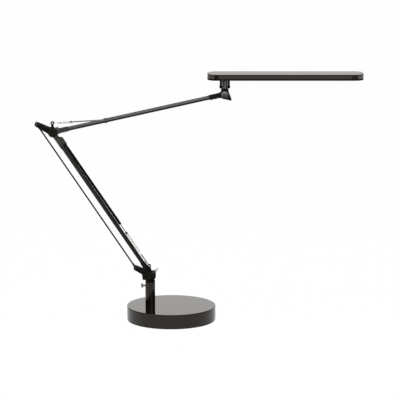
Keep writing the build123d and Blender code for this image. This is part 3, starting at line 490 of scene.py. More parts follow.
foot_rubber = rubber()
opal_lens = opal()
white_board = board("white_board", (0.75, 0.75, 0.72), (0.65, 0.62, 0.55))
green_board = board("green_board", (0.02, 0.14, 0.06), (0.05, 0.22, 0.10))
led_phosphor = phosphor()

# %% [markdown]
# ## Every CAD node gets its finish
# Most nodes have the right shape already, so they keep it and only their material changes.

# %% Finishes for the nodes
FINISHES = {
    base_lacquer: ["base_cover"],
    head_lacquer: ["head_cover"],
    side_inlay: ["head_bezel"],
    weight_iron: ["base_weight"],
    foot_rubber: ["base_pad", "cord_gland"],
    turned_steel: [
        "base_plate", "base_screws", "column_spacer", "column_bolt", "column_washer", "swivel_spigot",
        "spigot_screw", "knee_axle", "elbow_axle", "neck_axle", "bezel_screws",
    ],
    tube_paint: ["column"],
    lower_painted_light: ["lower_arm_tube", "lower_anchor"],
    upper_painted_light: ["upper_arm_tube", "upper_anchor"],
    bracket_paint: ["swivel_bracket", "elbow_plate_front", "elbow_plate_back", "neck_bracket", "head_yoke",
                    "knee_link_rivet", "elbow_link_rivet", "roll_pin", "yoke_screws"],
    rod_paint: ["link_rod", "lower_tension_rod"],
    dull_steel: ["upper_tension_rod"],
    black_moulding: [
        "column_bush", "lower_arm_foot", "upper_arm_tip", "switch_body", "push_button",
    ],
    moulding_painted_highlight: ["lower_arm_head", "upper_arm_fork"],
    cap_moulding: ["knee_hub_front", "knee_hub_back", "elbow_hub_front", "elbow_hub_back"],
    cover_with_painted_top_light: ["neck_hub_front", "neck_hub_back"],
    nylon: ["knee_washers", "neck_washers"],
    chrome: ["clamp_screw"],
    satin_zinc: ["knee_wing_nut"],
    spring_steel: ["lower_spring", "upper_spring"],
    barrel_metal: ["neck_barrel"],
    dyed_zinc: ["tip_screws"],
    mill_aluminium: ["heat_spreader"],
    opal_lens: ["lens"],
    white_board: ["led_board"],
    green_board: ["driver_board"],
    led_phosphor: ["leds"],
}
FINISH_OF = {node: finish for finish, nodes in FINISHES.items() for node in nodes}
for node, finish in FINISH_OF.items():
    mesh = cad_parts[node].data
    mesh.materials.clear()
    mesh.materials.append(finish)
print("nodes with a finish:", len(FINISH_OF), "of", len(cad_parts))

# %% [markdown]
# ## Tools of the bench
# Most of the lamp's parts are turned, stamped or moulded, so a few helpers cover them. One draws a line
# by extruding a single vertex, one spins such a line into a turned part, and one copies a CAD node and
# rounds its edges, because no real edge is as sharp as a solid's. The others select, place and finish.

# %% Selecting
WELD = 0.002 * MM


def pick(*pieces):
    """Select some pieces and nothing else. The first one becomes active."""
    bpy.ops.object.select_all(action="DESELECT")
    for piece in pieces:
        piece.select_set(True)
    bpy.context.view_layer.objects.active = pieces[0]


def edit(action="SELECT"):
    """Go into edit mode with everything selected, or nothing."""
    bpy.ops.object.mode_set(mode="EDIT")
    bpy.ops.mesh.select_mode(type="VERT")
    bpy.ops.mesh.select_all(action=action)


def leave():
    """Back to object mode."""
    bpy.ops.object.mode_set(mode="OBJECT")


# %% Drawing and turning


def drawn(name, points):
    """A line through points in millimetres, from one vertex that is extruded again and again."""
    bpy.ops.object.select_all(action="DESELECT")
    bpy.ops.mesh.primitive_plane_add(size=MM)
    piece = bpy.context.object
    piece.name = piece.data.name = name
    edit()
    bpy.ops.mesh.merge(type="CENTER")
    here = Vector()
    for index, point in enumerate(points):
        step = Vector(point) * MM - here
        here = Vector(point) * MM
        if index == 0:
            bpy.ops.transform.translate(value=step)
        else:
            bpy.ops.mesh.extrude_region_move(TRANSFORM_OT_translate={"value": step})
    return piece


def turned(name, profile, steps):
    """A part turned round Z, from radius and height in millimetres. A closed profile makes a ring."""
    piece = drawn(name, [(radius, 0, height) for radius, height in profile])
    bpy.ops.mesh.select_all(action="SELECT")
    bpy.ops.mesh.spin(steps=steps, angle=2 * math.pi, center=(0, 0, 0), axis=(0, 0, 1))
    bpy.ops.mesh.select_all(action="SELECT")
    bpy.ops.mesh.remove_doubles(threshold=WELD)
    bpy.ops.mesh.normals_make_consistent(inside=False)
    leave()
    return piece


# %% Rounding and placing
FRONT = Matrix.Rotation(math.radians(90), 4, "X")
BACK = Matrix.Rotation(math.radians(-90), 4, "X")
ALONG = Matrix.Rotation(math.radians(90), 4, "Y")


def modified(piece, kind, **settings):
    """Put a modifier with some settings on a piece and apply it."""
    pick(piece)
    modifier = piece.modifiers.new(kind.lower(), kind)
    for key, value in settings.items():
        setattr(modifier, key, value)
    bpy.ops.object.modifier_apply(modifier=modifier.name)
    return piece


def rounded(piece, width, segments, angle=32):
    """Bevel the sharp edges of a piece by a width in millimetres."""
    return modified(piece, "BEVEL", width=width * MM, segments=segments, limit_method="ANGLE",
                    angle_limit=math.radians(angle), use_clamp_overlap=True)


def settle(piece, where=None, smooth=35):
    """Put a piece in its place, keep the place in its mesh, and shade it smooth."""
    pick(piece)
    if where is not None:
        piece.matrix_world = where @ piece.matrix_world
    bpy.ops.object.transform_apply(location=True, rotation=True, scale=True)
    bpy.ops.object.shade_smooth_by_angle(angle=math.radians(smooth))
    return modified(piece, "WEIGHTED_NORMAL", keep_sharp=True)


def at(point, angle=0.0, y=0.0):
    """A place in the arm plane, turned so that its X runs at the angle above the lamp's +X."""
    return Matrix.Translation(Vector(point) + Vector((0, y * MM, 0))) @ Matrix.Rotation(-angle, 4, "Y")


# %% Joining and finishing


def give(piece, body, finish, slot, *nodes):
    """Finish a piece, put it on the body that it rides on and say so, and hide the nodes that it stands for.
    The slot is not used.
    """
    piece.data.materials.clear()
    piece.data.materials.append(finish)
    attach(piece, body)
    if nodes:
        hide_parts(*nodes)
    sides = sum(len(face.vertices) - 2 for face in piece.data.polygons)
    print(piece.name, "has", sides, "triangles and rides on", body)
    return piece


def second_finish(piece, finish, test):
    """Give another finish to the faces whose middle passes a test."""
    piece.data.materials.append(finish)
    chosen = [face for face in piece.data.polygons if test(face.center)]
    for face in chosen:
        face.material_index = 1
    print(piece.name, "has", len(chosen), "faces in", finish.name)


def joined(name, *pieces):
    """Several pieces made into one."""
    pick(*pieces)
    bpy.ops.object.join()
    pieces[0].name = pieces[0].data.name = name
    return pieces[0]


# %% A dressed copy of a node


def copied(node, name, width, segments):
    """A copy of a CAD node with its triangles merged, its flats cleaned and its edges rounded."""
    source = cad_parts[node]
    piece = source.copy()
    piece.data = source.data.copy()
    piece.name = piece.data.name = name
    bpy.context.scene.collection.objects.link(piece)
    piece.parent = None
    piece.matrix_world = Matrix.Identity(4)
    pick(piece)
    bpy.ops.mesh.customdata_custom_splitnormals_clear()
    edit()
    bpy.ops.mesh.remove_doubles(threshold=2 * WELD)
    bpy.ops.mesh.dissolve_limited(angle_limit=math.radians(1.0))
    leave()
    rounded(piece, width, segments)
    return settle(piece)


def dressed(node, name, body, slot, width, segments=2):
    """Such a copy, given to the body that the node moves with."""
    return give(copied(node, name, width, segments), body, FINISH_OF[node], slot, node)


# %% [markdown]
# ## The base
# The base is one glossy shell over a cast weight. Its rim is rounded, and a hair-thin groove runs round
# just below it, which reads as a black line. A spun profile gives all of that at once, with enough
# steps that the ellipse stays smooth. The pad below it has rings against slipping.

# %% Base shell and pad
BASE_R = sides_of("base_cover")[0] / 2
BASE_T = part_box("base_cover")[1].z / MM
RIM = 1.2
PAD_RINGS, RING_STEP = 9, 7

rim_arc = []
for degrees in range(0, 91, 15):
    turn = math.radians(degrees)
    rim_arc.append((BASE_R - RIM + RIM * math.cos(turn), BASE_T - RIM + RIM * math.sin(turn)))
base_shell = turned("base_shell", [
    (0, BASE_T - 2), (BASE_R - 2, BASE_T - 2), (BASE_R - 2, 1.6), (BASE_R - 0.7, 1.6), (BASE_R - 0.15, 2.0),
    (BASE_R, 2.6), (BASE_R, BASE_T - 2.5), (BASE_R - 0.1, BASE_T - 2.35), (BASE_R - 0.45, BASE_T - 2.2),
    (BASE_R - 0.45, BASE_T - 1.85), (BASE_R - 0.1, BASE_T - 1.7), (BASE_R, BASE_T - 1.55),
    *rim_arc, (BASE_R * 0.5, BASE_T), (0, BASE_T),
], 224)
settle(base_shell)
give(base_shell, "base", base_lacquer, "base_gloss", "base_cover")

pad_profile = [(0, 1.5), (BASE_R - 1, 1.5), (BASE_R - 1, 0.4), (BASE_R - 1.4, 0)]
for ring in range(PAD_RINGS):
    outer = BASE_R - 4 - ring * RING_STEP
    pad_profile += [(outer, 0), (outer - 0.5, 0.7), (outer - 2.5, 0.7), (outer - 3, 0)]
pad_profile += [(0, 0)]
base_foot = turned("base_foot", pad_profile, 128)
settle(base_foot)
give(base_foot, "base", foot_rubber, "rubber", "base_pad")

# %% [markdown]
# ## The column
# The column is a turned post with a softened top edge and a thin shadow gap where it stands on the base.
# A thin collar lies between it and the bracket above, and turns with the bracket.

# %% Column
POST = underside("column")
POST_B, POST_T = POST.z / MM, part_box("column")[1].z / MM
POST.z = 0
POST_R = sides_of("column")[0] / 2
BORE = 8.6
column_post = turned("column_post", [
    (BORE, POST_B + 0.1), (POST_R - 0.5, POST_B), (POST_R - 0.5, POST_B + 0.5), (POST_R - 0.1, POST_B + 0.6),
    (POST_R, POST_B + 0.9), (POST_R, POST_T - 0.9), (POST_R - 0.12, POST_T - 0.4),
    (POST_R - 0.45, POST_T - 0.08), (POST_R - 0.9, POST_T), (BORE, POST_T), (BORE, POST_B + 0.1),
], 96)
settle(column_post, Matrix.Translation(POST))
give(column_post, "base", tube_paint, "dark_paint", "column")

# %% Collar
COLLAR_BORE, COLLAR_B, COLLAR_T = 7.2, POST_T + 0.35, POST_T + 3.1
collar = turned("swivel_collar", [
    (COLLAR_BORE, COLLAR_B), (POST_R - 0.5, COLLAR_B), (POST_R - 0.2, COLLAR_B + 0.3),
    (POST_R - 0.2, COLLAR_T - 0.4), (POST_R - 0.6, COLLAR_T), (COLLAR_BORE, COLLAR_T), (COLLAR_BORE, COLLAR_B),
], 96)
settle(collar, Matrix.Translation(POST))
give(collar, "swivel", bracket_paint, "dark_paint")

# %% [markdown]
# ## Stamped and moulded parts
# The brackets are folded plate and the arms' ends are mouldings. Their solids are right already, so each
# is copied and its edges are rounded, which gives every edge the thin highlight that it has on the lamp.

# %% Brackets, ends and bands
for node, name, body, slot, width in (
    ("swivel_bracket", "knee_bracket", "swivel", "dark_paint", 0.45),
    ("elbow_plate_front", "elbow_front_plate", "elbow", "dark_paint", 0.45),
    ("elbow_plate_back", "elbow_back_plate", "elbow", "dark_paint", 0.45),
    ("neck_bracket", "neck_plates", "neck", "dark_paint", 0.45),
    ("head_yoke", "yoke", "head", "dark_paint", 0.5),
    ("link_rod", "level_link", "link", "dark_paint", 0.25),
    ("lower_arm_foot", "arm_foot", "lower_arm", "black_plastic", 0.4),
    ("lower_arm_head", "arm_top", "lower_arm", "black_plastic", 0.4),
    ("lower_anchor", "lower_band", "lower_arm", "black_plastic", 0.25),
    ("upper_arm_fork", "arm_fork", "upper_arm", "black_plastic", 0.4),
    ("upper_arm_tip", "arm_tip", "upper_arm", "black_plastic", 0.4),
    ("upper_anchor", "upper_band", "upper_arm", "black_plastic", 0.25),
):
    dressed(node, name, body, slot, width)

# %% [markdown]
# ## Pivot covers
# Each pivot has a round cover over its axle: a shallow dome with a step round its rim and a dimple in
# the middle. One profile is turned and placed at both ends of each axle.

# %% Pivot covers


def cover(name, node, body, finish, slot, way):
    """A domed pivot cover in the box of a node, facing the front or the back."""
    width, thick, _ = sides_of(node)
    radius = width / 2
    shoulder = radius - 1.9
    profile = [(0, 0), (radius, 0), (radius, thick * 0.30)]
    for step in range(1, 6):
        turn = math.radians(18 * step)
        profile.append((radius - 1.2 * (1 - math.cos(turn)), thick * (0.30 + 0.28 * math.sin(turn))))
    profile += [(shoulder, thick * 0.56), (shoulder - 0.25, thick * 0.62)]
    for step in range(6, -1, -1):
        share = step / 6
        dome = math.sqrt(1 - share * share * 0.96)
        profile.append((2.6 + (shoulder - 3.1) * share, thick * (0.62 + 0.38 * dome)))
    profile += [(2.2, thick * 0.86), (0.9, thick * 0.80), (0, thick * 0.80)]
    piece = turned(name, profile, 72)
    low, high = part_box(node)
    where = middle(node)
    where.y = high.y if way is FRONT else low.y
    settle(piece, Matrix.Translation(where) @ way)
    return give(piece, body, finish, slot, node)


for joint, body, finish, slot in (
    ("knee", "swivel", cap_moulding, "hub_gloss"),
    ("elbow", "elbow", cap_moulding, "hub_gloss"),
    ("neck", "neck", cover_with_painted_top_light, "hub_grey"),
):
    cover(joint + "_cover_front", joint + "_hub_front", body, finish, slot, FRONT)
    cover(joint + "_cover_back", joint + "_hub_back", body, finish, slot, BACK)

# %% [markdown]
# ## The springs
# Each spring is one length of wire: a hook round the bracket's eye, a straight shank and every turn of
# the coil. The middle line of the wire is worked out first, then a round section follows it. The hook
# looks dark on the lamp, so its faces get the rods' paint.

# %% Spring wire
WIRE = 1.0        # the wire's thickness
COIL = 2.2        # the radius of a turn, at the wire's middle
PITCH = 1.6       # the rise of a turn
HOOK = 2.145      # the radius of the hook
LEAD = 4.86       # the length in which the shank widens to the first turn
TURN_STEPS = 20   # points in a turn


def wire(name, points, radius):
    """A round wire along points in millimetres, made as a curve and turned into a mesh."""
    bpy.ops.object.select_all(action="DESELECT")
    bpy.ops.curve.primitive_nurbs_path_add()
    curve = bpy.context.object
    curve.name = name
    curve.data.splines.clear()
    spline = curve.data.splines.new("POLY")
    spline.points.add(len(points) - 1)
    for place, point in zip(spline.points, points):
        place.co = (*(Vector(point) * MM), 1)
    curve.data.bevel_depth = radius * MM
    curve.data.bevel_resolution = 2
    curve.data.use_fill_caps = True
    bpy.ops.object.convert(target="MESH")
    piece = bpy.context.object
    piece.data.name = name
    edit()
    bpy.ops.mesh.remove_doubles(threshold=WELD / 2)
    bpy.ops.mesh.normals_make_consistent(inside=False)
    leave()
    return piece


def spring_line(turns, shank):
    """Points along the whole wire: hook, shank, lead-in and turns. Also where the last turn ends."""
    points = []
    for degrees in range(300, 0, -12):
        turn = math.radians(degrees)
        points.append((-math.sin(turn) * HOOK, (1 - math.cos(turn)) * HOOK, 0))
    points.append((0, 0, 0))
    points.append((shank, 0, 0))
    start = shank + LEAD
    for step in range(1, 9):
        share = step / 9
        radius = COIL * share * share * (3 - 2 * share)
        turn = -math.radians(80) * (1 - share)
        points.append((shank + (start - shank) * share, radius * math.cos(turn), radius * math.sin(turn)))
    for step in range(turns * TURN_STEPS + 1):
        turn = 2 * math.pi * step / TURN_STEPS
        points.append((start + PITCH * step / TURN_STEPS, COIL * math.cos(turn), COIL * math.sin(turn)))
    return points, start + PITCH * turns


# %% Springs
SEAT = 2.9            # from the eye's middle to where the hook becomes the shank
SPRING_Y = -9.345     # the springs lie this far in front of the arm plane
DARK_HOOK = 6.0 * MM  # how far from the eye's middle the wire is dark


def tension_frame(eye, stud):
    """Where the hook sits in the eye, the angle of the pull, and the length from there to the stud."""
    way = Vector((stud.x - eye.x, 0, stud.z - eye.z))
    angle = math.atan2(way.z, way.x)
    spot = eye + way.normalized() * SEAT * MM
    return spot, angle, way.length / MM - SEAT


KNEE_EYE = KNEE + Vector((-4.6, 0, 23.3)) * MM
ELBOW_EYE = ELBOW + Vector((-0.2, 0, 21.2)) * MM
LOWER_STUD = ELBOW - LOWER_WAY * 37.5 * MM + ACROSS_LOWER * -8.6 * MM
UPPER_STUD = ELBOW + UPPER_WAY * 116 * MM + ACROSS_UPPER * 3.0 * MM
LOWER_SPRING = (KNEE_EYE, LOWER_STUD, 30, 29.0)
UPPER_SPRING = (ELBOW_EYE, UPPER_STUD, 17, 3.0)

for name, node, body, spring in (
    ("lower_coil", "lower_spring", "lower_tension", LOWER_SPRING),
    ("upper_coil", "upper_spring", "upper_tension", UPPER_SPRING),
):
    eye, stud, turns, shank = spring
    points, coil_end = spring_line(turns, shank)
    spot, angle, length = tension_frame(eye, stud)
    coil = wire(name, points, WIRE / 2)
    settle(coil, at(spot, angle, SPRING_Y), 60)
    give(coil, body, spring_steel, "spring_steel", node)
    hole = eye + Vector((0, SPRING_Y * MM, 0))
    second_finish(coil, rod_paint, lambda place: (place - hole).length < DARK_HOOK)
    print(name, "has", turns, "turns and ends", round(length - coil_end, 1), "mm before the stud")

# %% [markdown]
# ## Tension rods
# A rod carries each spring's pull to a stud on the arm. It ends in a crimped cap that holds the spring's
# last turns, and in a small round eye. The shaft and cap are turned, and the eye is a ring across it.

# %% Tension rods


def tension_rod(name, node, body, finish, slot, spring, radius, neck):
    """The cap, thin neck, shaft and eye of one rod, in the frame of its spring."""
    eye, stud, turns, shank = spring
    spot, angle, length = tension_frame(eye, stud)
    cap = shank + LEAD + PITCH * turns + WIRE / 2 + 0.3
    profile = [
        (0, cap - 4), (1.1, cap - 4), (1.35, cap - 3.6), (1.35, cap), (2.3, cap), (2.65, cap + 0.3),
        (2.65, cap + 0.9), (2.3, cap + 1.1), (2.3, cap + 1.4), (2.65, cap + 1.6), (2.65, cap + 2.2),
        (2.2, cap + 2.7),
    ]
    end = length - (2.8 if neck else 6)
    if neck:
        start = cap + neck
        groove = radius - 0.25
        profile += [
            (1.0, cap + 3.4), (0.8, cap + 4.0), (0.8, start), (radius - 0.6, start),
            (radius - 0.1, start + 0.4), (radius, start + 1.2), (groove, start + 1.6), (groove, start + 2.2),
            (radius, start + 2.6), (radius, end - 2.4), (groove, end - 2.0), (groove, end - 1.4),
            (radius, end - 1.0), (radius - 0.5, end),
        ]
    else:
        profile += [(radius + 0.15, cap + 3.4), (radius, cap + 4.2), (radius, end - 0.6), (radius - 0.3, end)]
    profile += [(0.8, end), (0.8, length - 2.2), (0, length - 2.2)]
    shaft = turned(name, profile, 32)
    settle(shaft, ALONG)
    ring = turned(name + "_eye", [
        (1.3, -1.7), (2.6, -1.7), (3.0, -1.3), (3.0, 1.3), (2.6, 1.7), (1.3, 1.7), (1.3, -1.7),
    ], 32)
    settle(ring, Matrix.Translation((length * MM, 0, 0)) @ FRONT)
    rod = joined(name, shaft, ring)
    settle(rod, at(spot, angle, SPRING_Y))
    return give(rod, body, finish, slot, node)


tension_rod("lower_pull_rod", "lower_tension_rod", "lower_tension", rod_paint, "dark_paint",
            LOWER_SPRING, radius=2.8, neck=24.0)
tension_rod("upper_pull_rod", "upper_tension_rod", "upper_tension", dull_steel, "steel",
            UPPER_SPRING, radius=1.4, neck=0.0)

# %% [markdown]
# ## Hand screws
# Cast lever nuts lock the knee and the elbow at the back, and a small screw with two round lobes holds
# the column. Cast parts have generous round edges, so each lever's copy gets a wide bevel. The elbow's
# is a smaller copy of the knee's, and is made first, because the knee's then hides the CAD node. The
# knee's lever has a dark tip. The lobes are turned as balls and flattened.

# %% Lever nuts
CAST_EDGE = 1.2          # the bevel's width
ELBOW_SCALE = 0.8        # the elbow's lever against the knee's
ELBOW_BACK = 2.35 * MM   # puts the smaller lever against the elbow's back cover
DARK_TIP = 15.6 * MM     # how far from the axle the lever is dark

elbow_lever = copied("knee_wing_nut", "elbow_lever_nut", CAST_EDGE, 4)
KNEE_TO_ELBOW = Matrix.Translation(ELBOW) @ Matrix.Scale(ELBOW_SCALE, 4) @ Matrix.Translation(-KNEE)
settle(elbow_lever, Matrix.Translation((0, ELBOW_BACK, 0)) @ KNEE_TO_ELBOW)
give(elbow_lever, "elbow", satin_zinc, "chrome")
knee_lever = dressed("knee_wing_nut", "knee_lever_nut", "wing_nut", "chrome", CAST_EDGE, 4)
second_finish(knee_lever, rod_paint, lambda place: math.hypot(place.x - KNEE.x, place.z - KNEE.z) > DARK_TIP)

# %% Clamp screw
CLAMP_LOW, CLAMP_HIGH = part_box("clamp_screw")
CLAMP = Vector((CLAMP_LOW.x, POST.y, (CLAMP_LOW.z + CLAMP_HIGH.z) / 2))
LOBE_R = 2.2
LOBE_OUT = sides_of("clamp_screw")[2] / 2 - LOBE_R
FLATTENED = Matrix.Diagonal((1, 0.62, 1.05, 1))
screw = turned("clamp_shank", [
    (0, 0.4), (1.0, 0.4), (1.5, 0.9), (1.5, 1.6), (2.6, 2.0), (2.6, 3.4), (1.9, 3.8), (1.75, 4.0), (1.45, 4.2),
    (1.75, 4.4), (1.45, 4.6), (1.75, 4.8), (1.45, 5.0), (1.75, 5.2), (1.75, 12.6), (0, 12.6),
], 32)
angles = [math.radians(degrees) for degrees in range(0, 181, 15)]
ball = [(LOBE_R * math.sin(angle), -LOBE_R * math.cos(angle)) for angle in angles]
lobes = []
for side in (-1, 1):
    lobe = turned("clamp_lobe", ball, 24)
    settle(lobe, Matrix.Translation((side * LOBE_OUT * MM, 0, 2.6 * MM)) @ FLATTENED)
    lobes.append(lobe)
clamp = joined("clamp_hand_screw", screw, *lobes)
settle(clamp, Matrix.Translation(CLAMP) @ ALONG, 50)
give(clamp, "clamp", chrome, "chrome", "clamp_screw")

# %% [markdown]
# ## Rivets and screws
# Hollow rivets have a rolled rim. The screw heads are low domes with a cross cut into them. A boolean cut
# is the simplest way to make a driver's recess, because the cutter is only two crossed bars.

# %% Rivets
for name, node, body in (
    ("knee_rivet", "knee_link_rivet", "swivel"),
    ("elbow_rivet", "elbow_link_rivet", "elbow"),
):
    half = sides_of(node)[1] / 2
    rivet = turned(name, [
        (1.4, -half + 0.25), (1.7, -half), (2.5, -half), (3.3, -half + 0.3), (3.5, -half + 0.8),
        (2.25, -half + 0.8), (2.25, half - 0.8), (3.5, half - 0.8), (3.3, half - 0.3), (2.5, half), (1.7, half),
        (1.4, half - 0.25), (1.4, -half + 0.25),
    ], 32)
    settle(rivet, Matrix.Translation(middle(node)) @ FRONT)
    give(rivet, body, bracket_paint, "dark_metal", node)

# %% Screw heads


def crossed(piece, size, depth):
    """Cut a cross recess of a size and depth into the top of a screw that stands at the origin."""
    for turn in (0, 90):
        bpy.ops.object.select_all(action="DESELECT")
        bpy.ops.mesh.primitive_cube_add(size=1, location=(0, 0, 0), rotation=(0, 0, math.radians(turn)))
        bar = bpy.context.object
        bar.scale = (size * MM, size * MM * 0.22, depth * 2 * MM)
        bpy.ops.object.transform_apply(location=True, rotation=True, scale=True)
        modified(piece, "BOOLEAN", operation="DIFFERENCE", solver="EXACT", object=bar)
        bpy.data.objects.remove(bar)
    return piece


def pan_head(name, radius, height, length, shaft):
    """A pan-head screw whose head's top is at the origin and whose shaft runs down."""
    return crossed(turned(name, [
        (0, 0), (radius * 0.45, -0.03), (radius * 0.80, -height * 0.22), (radius * 0.97, -height * 0.55),
        (radius, -height), (shaft, -height), (shaft, -length), (0, -length),
    ], 32), radius * 1.15, height * 0.7)


# %% Screws
UPSIDE_DOWN = Matrix.Rotation(math.pi, 4, "X")
BELOW_UPPER = at(ELBOW, UPPER_ANGLE) @ UPSIDE_DOWN
tip_heads = []
for from_neck in (21.0, 29.0):
    head = pan_head("tip_head", 2.0, 1.5, 3.0, 1.0)
    settle(head, BELOW_UPPER @ Matrix.Translation(((UPPER_LENGTH - from_neck) * MM, 0, 6.5 * MM)))
    tip_heads.append(head)
tip_pair = joined("tip_pan_screws", *tip_heads)
settle(tip_pair)
give(tip_pair, "upper_arm", dyed_zinc, "red_zinc", "tip_screws")

BEZEL_LOW, BEZEL_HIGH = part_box("head_bezel")
INSET = 12 * MM
bezel_heads = []
for x in (BEZEL_LOW.x + INSET, BEZEL_HIGH.x - INSET):
    for y in (BEZEL_LOW.y + INSET, BEZEL_HIGH.y - INSET):
        head = pan_head("bezel_head", 2.2, 0.9, 8.0, 1.2)
        settle(head, Matrix.Translation((x, y, BEZEL_LOW.z)) @ UPSIDE_DOWN)
        bezel_heads.append(head)
bezel_set = joined("bezel_pan_screws", *bezel_heads)
settle(bezel_set)
give(bezel_set, "head", turned_steel, "steel", "bezel_screws")

# %% [markdown]
# ## The neck's barrel and pin
# A short turned barrel lets the head swivel, and a pin through the yoke lets it roll. The barrel has a
# thin waist at its foot and four fine grooves. The pin has low domed heads.

# %% Barrel and roll pin
barrel = turned("neck_turning_barrel", [
    (0, 7.9), (4.0, 7.9), (4.0, 9.1), (3.0, 9.1), (3.0, 12.1), (4.7, 12.1), (5.3, 12.5), (5.3, 13.2),
    (4.9, 13.4), (4.9, 13.8), (5.3, 14.0), (5.3, 19.6), (4.95, 19.8), (4.95, 20.2), (5.3, 20.4),
    (5.3, 21.6), (4.95, 21.8), (4.95, 22.2), (5.3, 22.4), (5.3, 23.6), (4.95, 23.8), (4.95, 24.2),
    (5.3, 24.4), (5.3, 27.7), (4.8, 28.3), (0, 28.3),
], 64)
settle(barrel, Matrix.Translation(NECK))
give(barrel, "barrel", barrel_metal, "barrel_metal", "neck_barrel")

PIN_HALF = sides_of("roll_pin")[0] / 2
pin = turned("roll_pin_domed", [
    (0, -PIN_HALF), (1.4, -PIN_HALF), (2.5, -PIN_HALF + 0.3), (2.8, -PIN_HALF + 0.8), (2.0, -PIN_HALF + 0.8),
    (2.0, PIN_HALF - 0.8), (2.8, PIN_HALF - 0.8), (2.5, PIN_HALF - 0.3), (1.4, PIN_HALF), (0, PIN_HALF),
], 32)
settle(pin, Matrix.Translation(middle("roll_pin")) @ ALONG)
give(pin, "head", bracket_paint, "steel", "roll_pin")

# %% [markdown]
# ## The head
# The head is a long flat box with round ends. Its side isn't plain: a hair line runs below the top edge,
# a satin band goes round the middle, a grey panel and a matt inlay take up the near end, and the far end
# is dark and then finely ribbed. The box is one extruded outline, cut by planes where the finish
# changes, and each zone gets its own slot.

# %% Flat bars and cuts


def round_ended(length, depth, corner, steps):
    """The outline of a rectangle with round corners, in X and Y."""
    points = []
    for quarter, (sx, sy) in enumerate(((1, 1), (-1, 1), (-1, -1), (1, -1))):
        for step in range(steps + 1):
            turn = math.radians(90 * quarter + 90 * step / steps)
            points.append((sx * (length / 2 - corner) + corner * math.cos(turn),
                           sy * (depth / 2 - corner) + corner * math.sin(turn), 0))
    return points


def bar_of(name, outline, thickness):
    """A flat bar: an outline filled and extruded upwards."""
    piece = drawn(name, outline)
    bpy.ops.mesh.select_all(action="SELECT")
    bpy.ops.mesh.edge_face_add()
    bpy.ops.mesh.select_all(action="SELECT")
    bpy.ops.mesh.extrude_region_move(TRANSFORM_OT_translate={"value": (0, 0, thickness * MM)})
    bpy.ops.mesh.select_all(action="SELECT")
    bpy.ops.mesh.normals_make_consistent(inside=False)
    leave()
    return piece


def sliced(piece, planes):
    """Cut a piece's faces by planes, each given by a point in millimetres and an axis."""
    edit()
    for point, axis in planes:
        bpy.ops.mesh.select_all(action="SELECT")
        bpy.ops.mesh.bisect(plane_co=Vector(point) * MM, plane_no=axis)
    leave()


def sunk(piece, test, depth):
    """Push the faces that pass a test inwards."""
    edit("DESELECT")
    bpy.ops.mesh.select_mode(type="FACE")
    leave()
    for face in piece.data.polygons:
        face.select = test(face.center / MM, face.normal)
    bpy.ops.object.mode_set(mode="EDIT")
    bpy.ops.mesh.extrude_region_shrink_fatten(TRANSFORM_OT_shrink_fatten={"value": -depth * MM})
    leave()


# %% Head shell
HEAD_L, HEAD_D, HEAD_T = sides_of("head_cover")
CORNER = 19                                       # the radius of the ends
EDGE = 0.5                                        # the height of the dark lower edge
LINE_LOW, LINE_HIGH = HEAD_T - 1.9, HEAD_T - 1.5  # the hair line
PANEL_END, INLAY_END = 14.5, 23.5                 # from the near end
DARK_START, RIBS_START = HEAD_L - 24.7, HEAD_L - 12

shell = bar_of("head_shell", round_ended(HEAD_L, HEAD_D, CORNER, 14), HEAD_T)
rounded(shell, 0.8, 3, 60)
level_cuts = [((0, 0, z), (0, 0, 1)) for z in (EDGE, LINE_LOW, LINE_HIGH)]
upright_cuts = [((x - HEAD_L / 2, 0, 0), (1, 0, 0)) for x in (PANEL_END, INLAY_END, DARK_START, RIBS_START)]
sliced(shell, level_cuts + upright_cuts)
sunk(shell, lambda place, normal: LINE_LOW < place.z < LINE_HIGH and abs(normal.z) < 0.3, 0.35)
settle(shell, Matrix.Translation(underside("head_cover")))
give(shell, "head", head_lacquer, "head_paint", "head_cover")

# %% Finishes of the head's side
SHELL_FINISHES = [head_lacquer, side_band, side_inlay, near_panel, far_ribs, head_dark]


def side_finish(x, z):
    """The finish of the head's side at a distance from its near end and a height."""
    if z > LINE_LOW - 0.05 or z < EDGE:
        return head_dark
    if x < PANEL_END:
        return near_panel
    if x < INLAY_END:
        return side_inlay
    if x > RIBS_START:
        return far_ribs
    return head_dark if x > DARK_START else side_band


for finish in SHELL_FINISHES[1:]:
    shell.data.materials.append(finish)
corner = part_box("head_cover")[0]
counts = [0] * len(SHELL_FINISHES)
for face in shell.data.polygons:
    place = (face.center - corner) / MM
    on_side = abs(face.normal.z) < 0.35
    zone = SHELL_FINISHES.index(side_finish(place.x, place.z)) if on_side else 0
    face.material_index = zone
    counts[zone] += 1
print("head faces by zone:", counts)

# %% Bezel, button and lens
dressed("head_bezel", "head_rim_frame", "head", "black_plastic", 0.3)
dressed("lens", "opal_window", "head", "lens_plastic", 0.3)

button = turned("press_button", [
    (0, 5.0), (3.1, 5.0), (3.1, 4.25), (2.2, 4.2), (2.2, 0.75), (2.05, 0.35), (1.7, 0.1), (1.2, 0.0),
    (0.9, 0.25), (0, 0.3),
], 40)
settle(button, Matrix.Translation(underside("push_button")))
give(button, "button", black_moulding, "button_plastic", "push_button")

# %% [markdown]
# ## Small trim
# A web of the lower arm's top end carries the rod's stud. It is drawn as a flat outline in the arm's own
# directions, and its upper edge slopes so that the upper arm clears it at every tilt. Each spring's hook
# is held by a dark washer, the lower spring's straight end runs in a dark sleeve, and a ribbed grommet
# sits in the base's back.

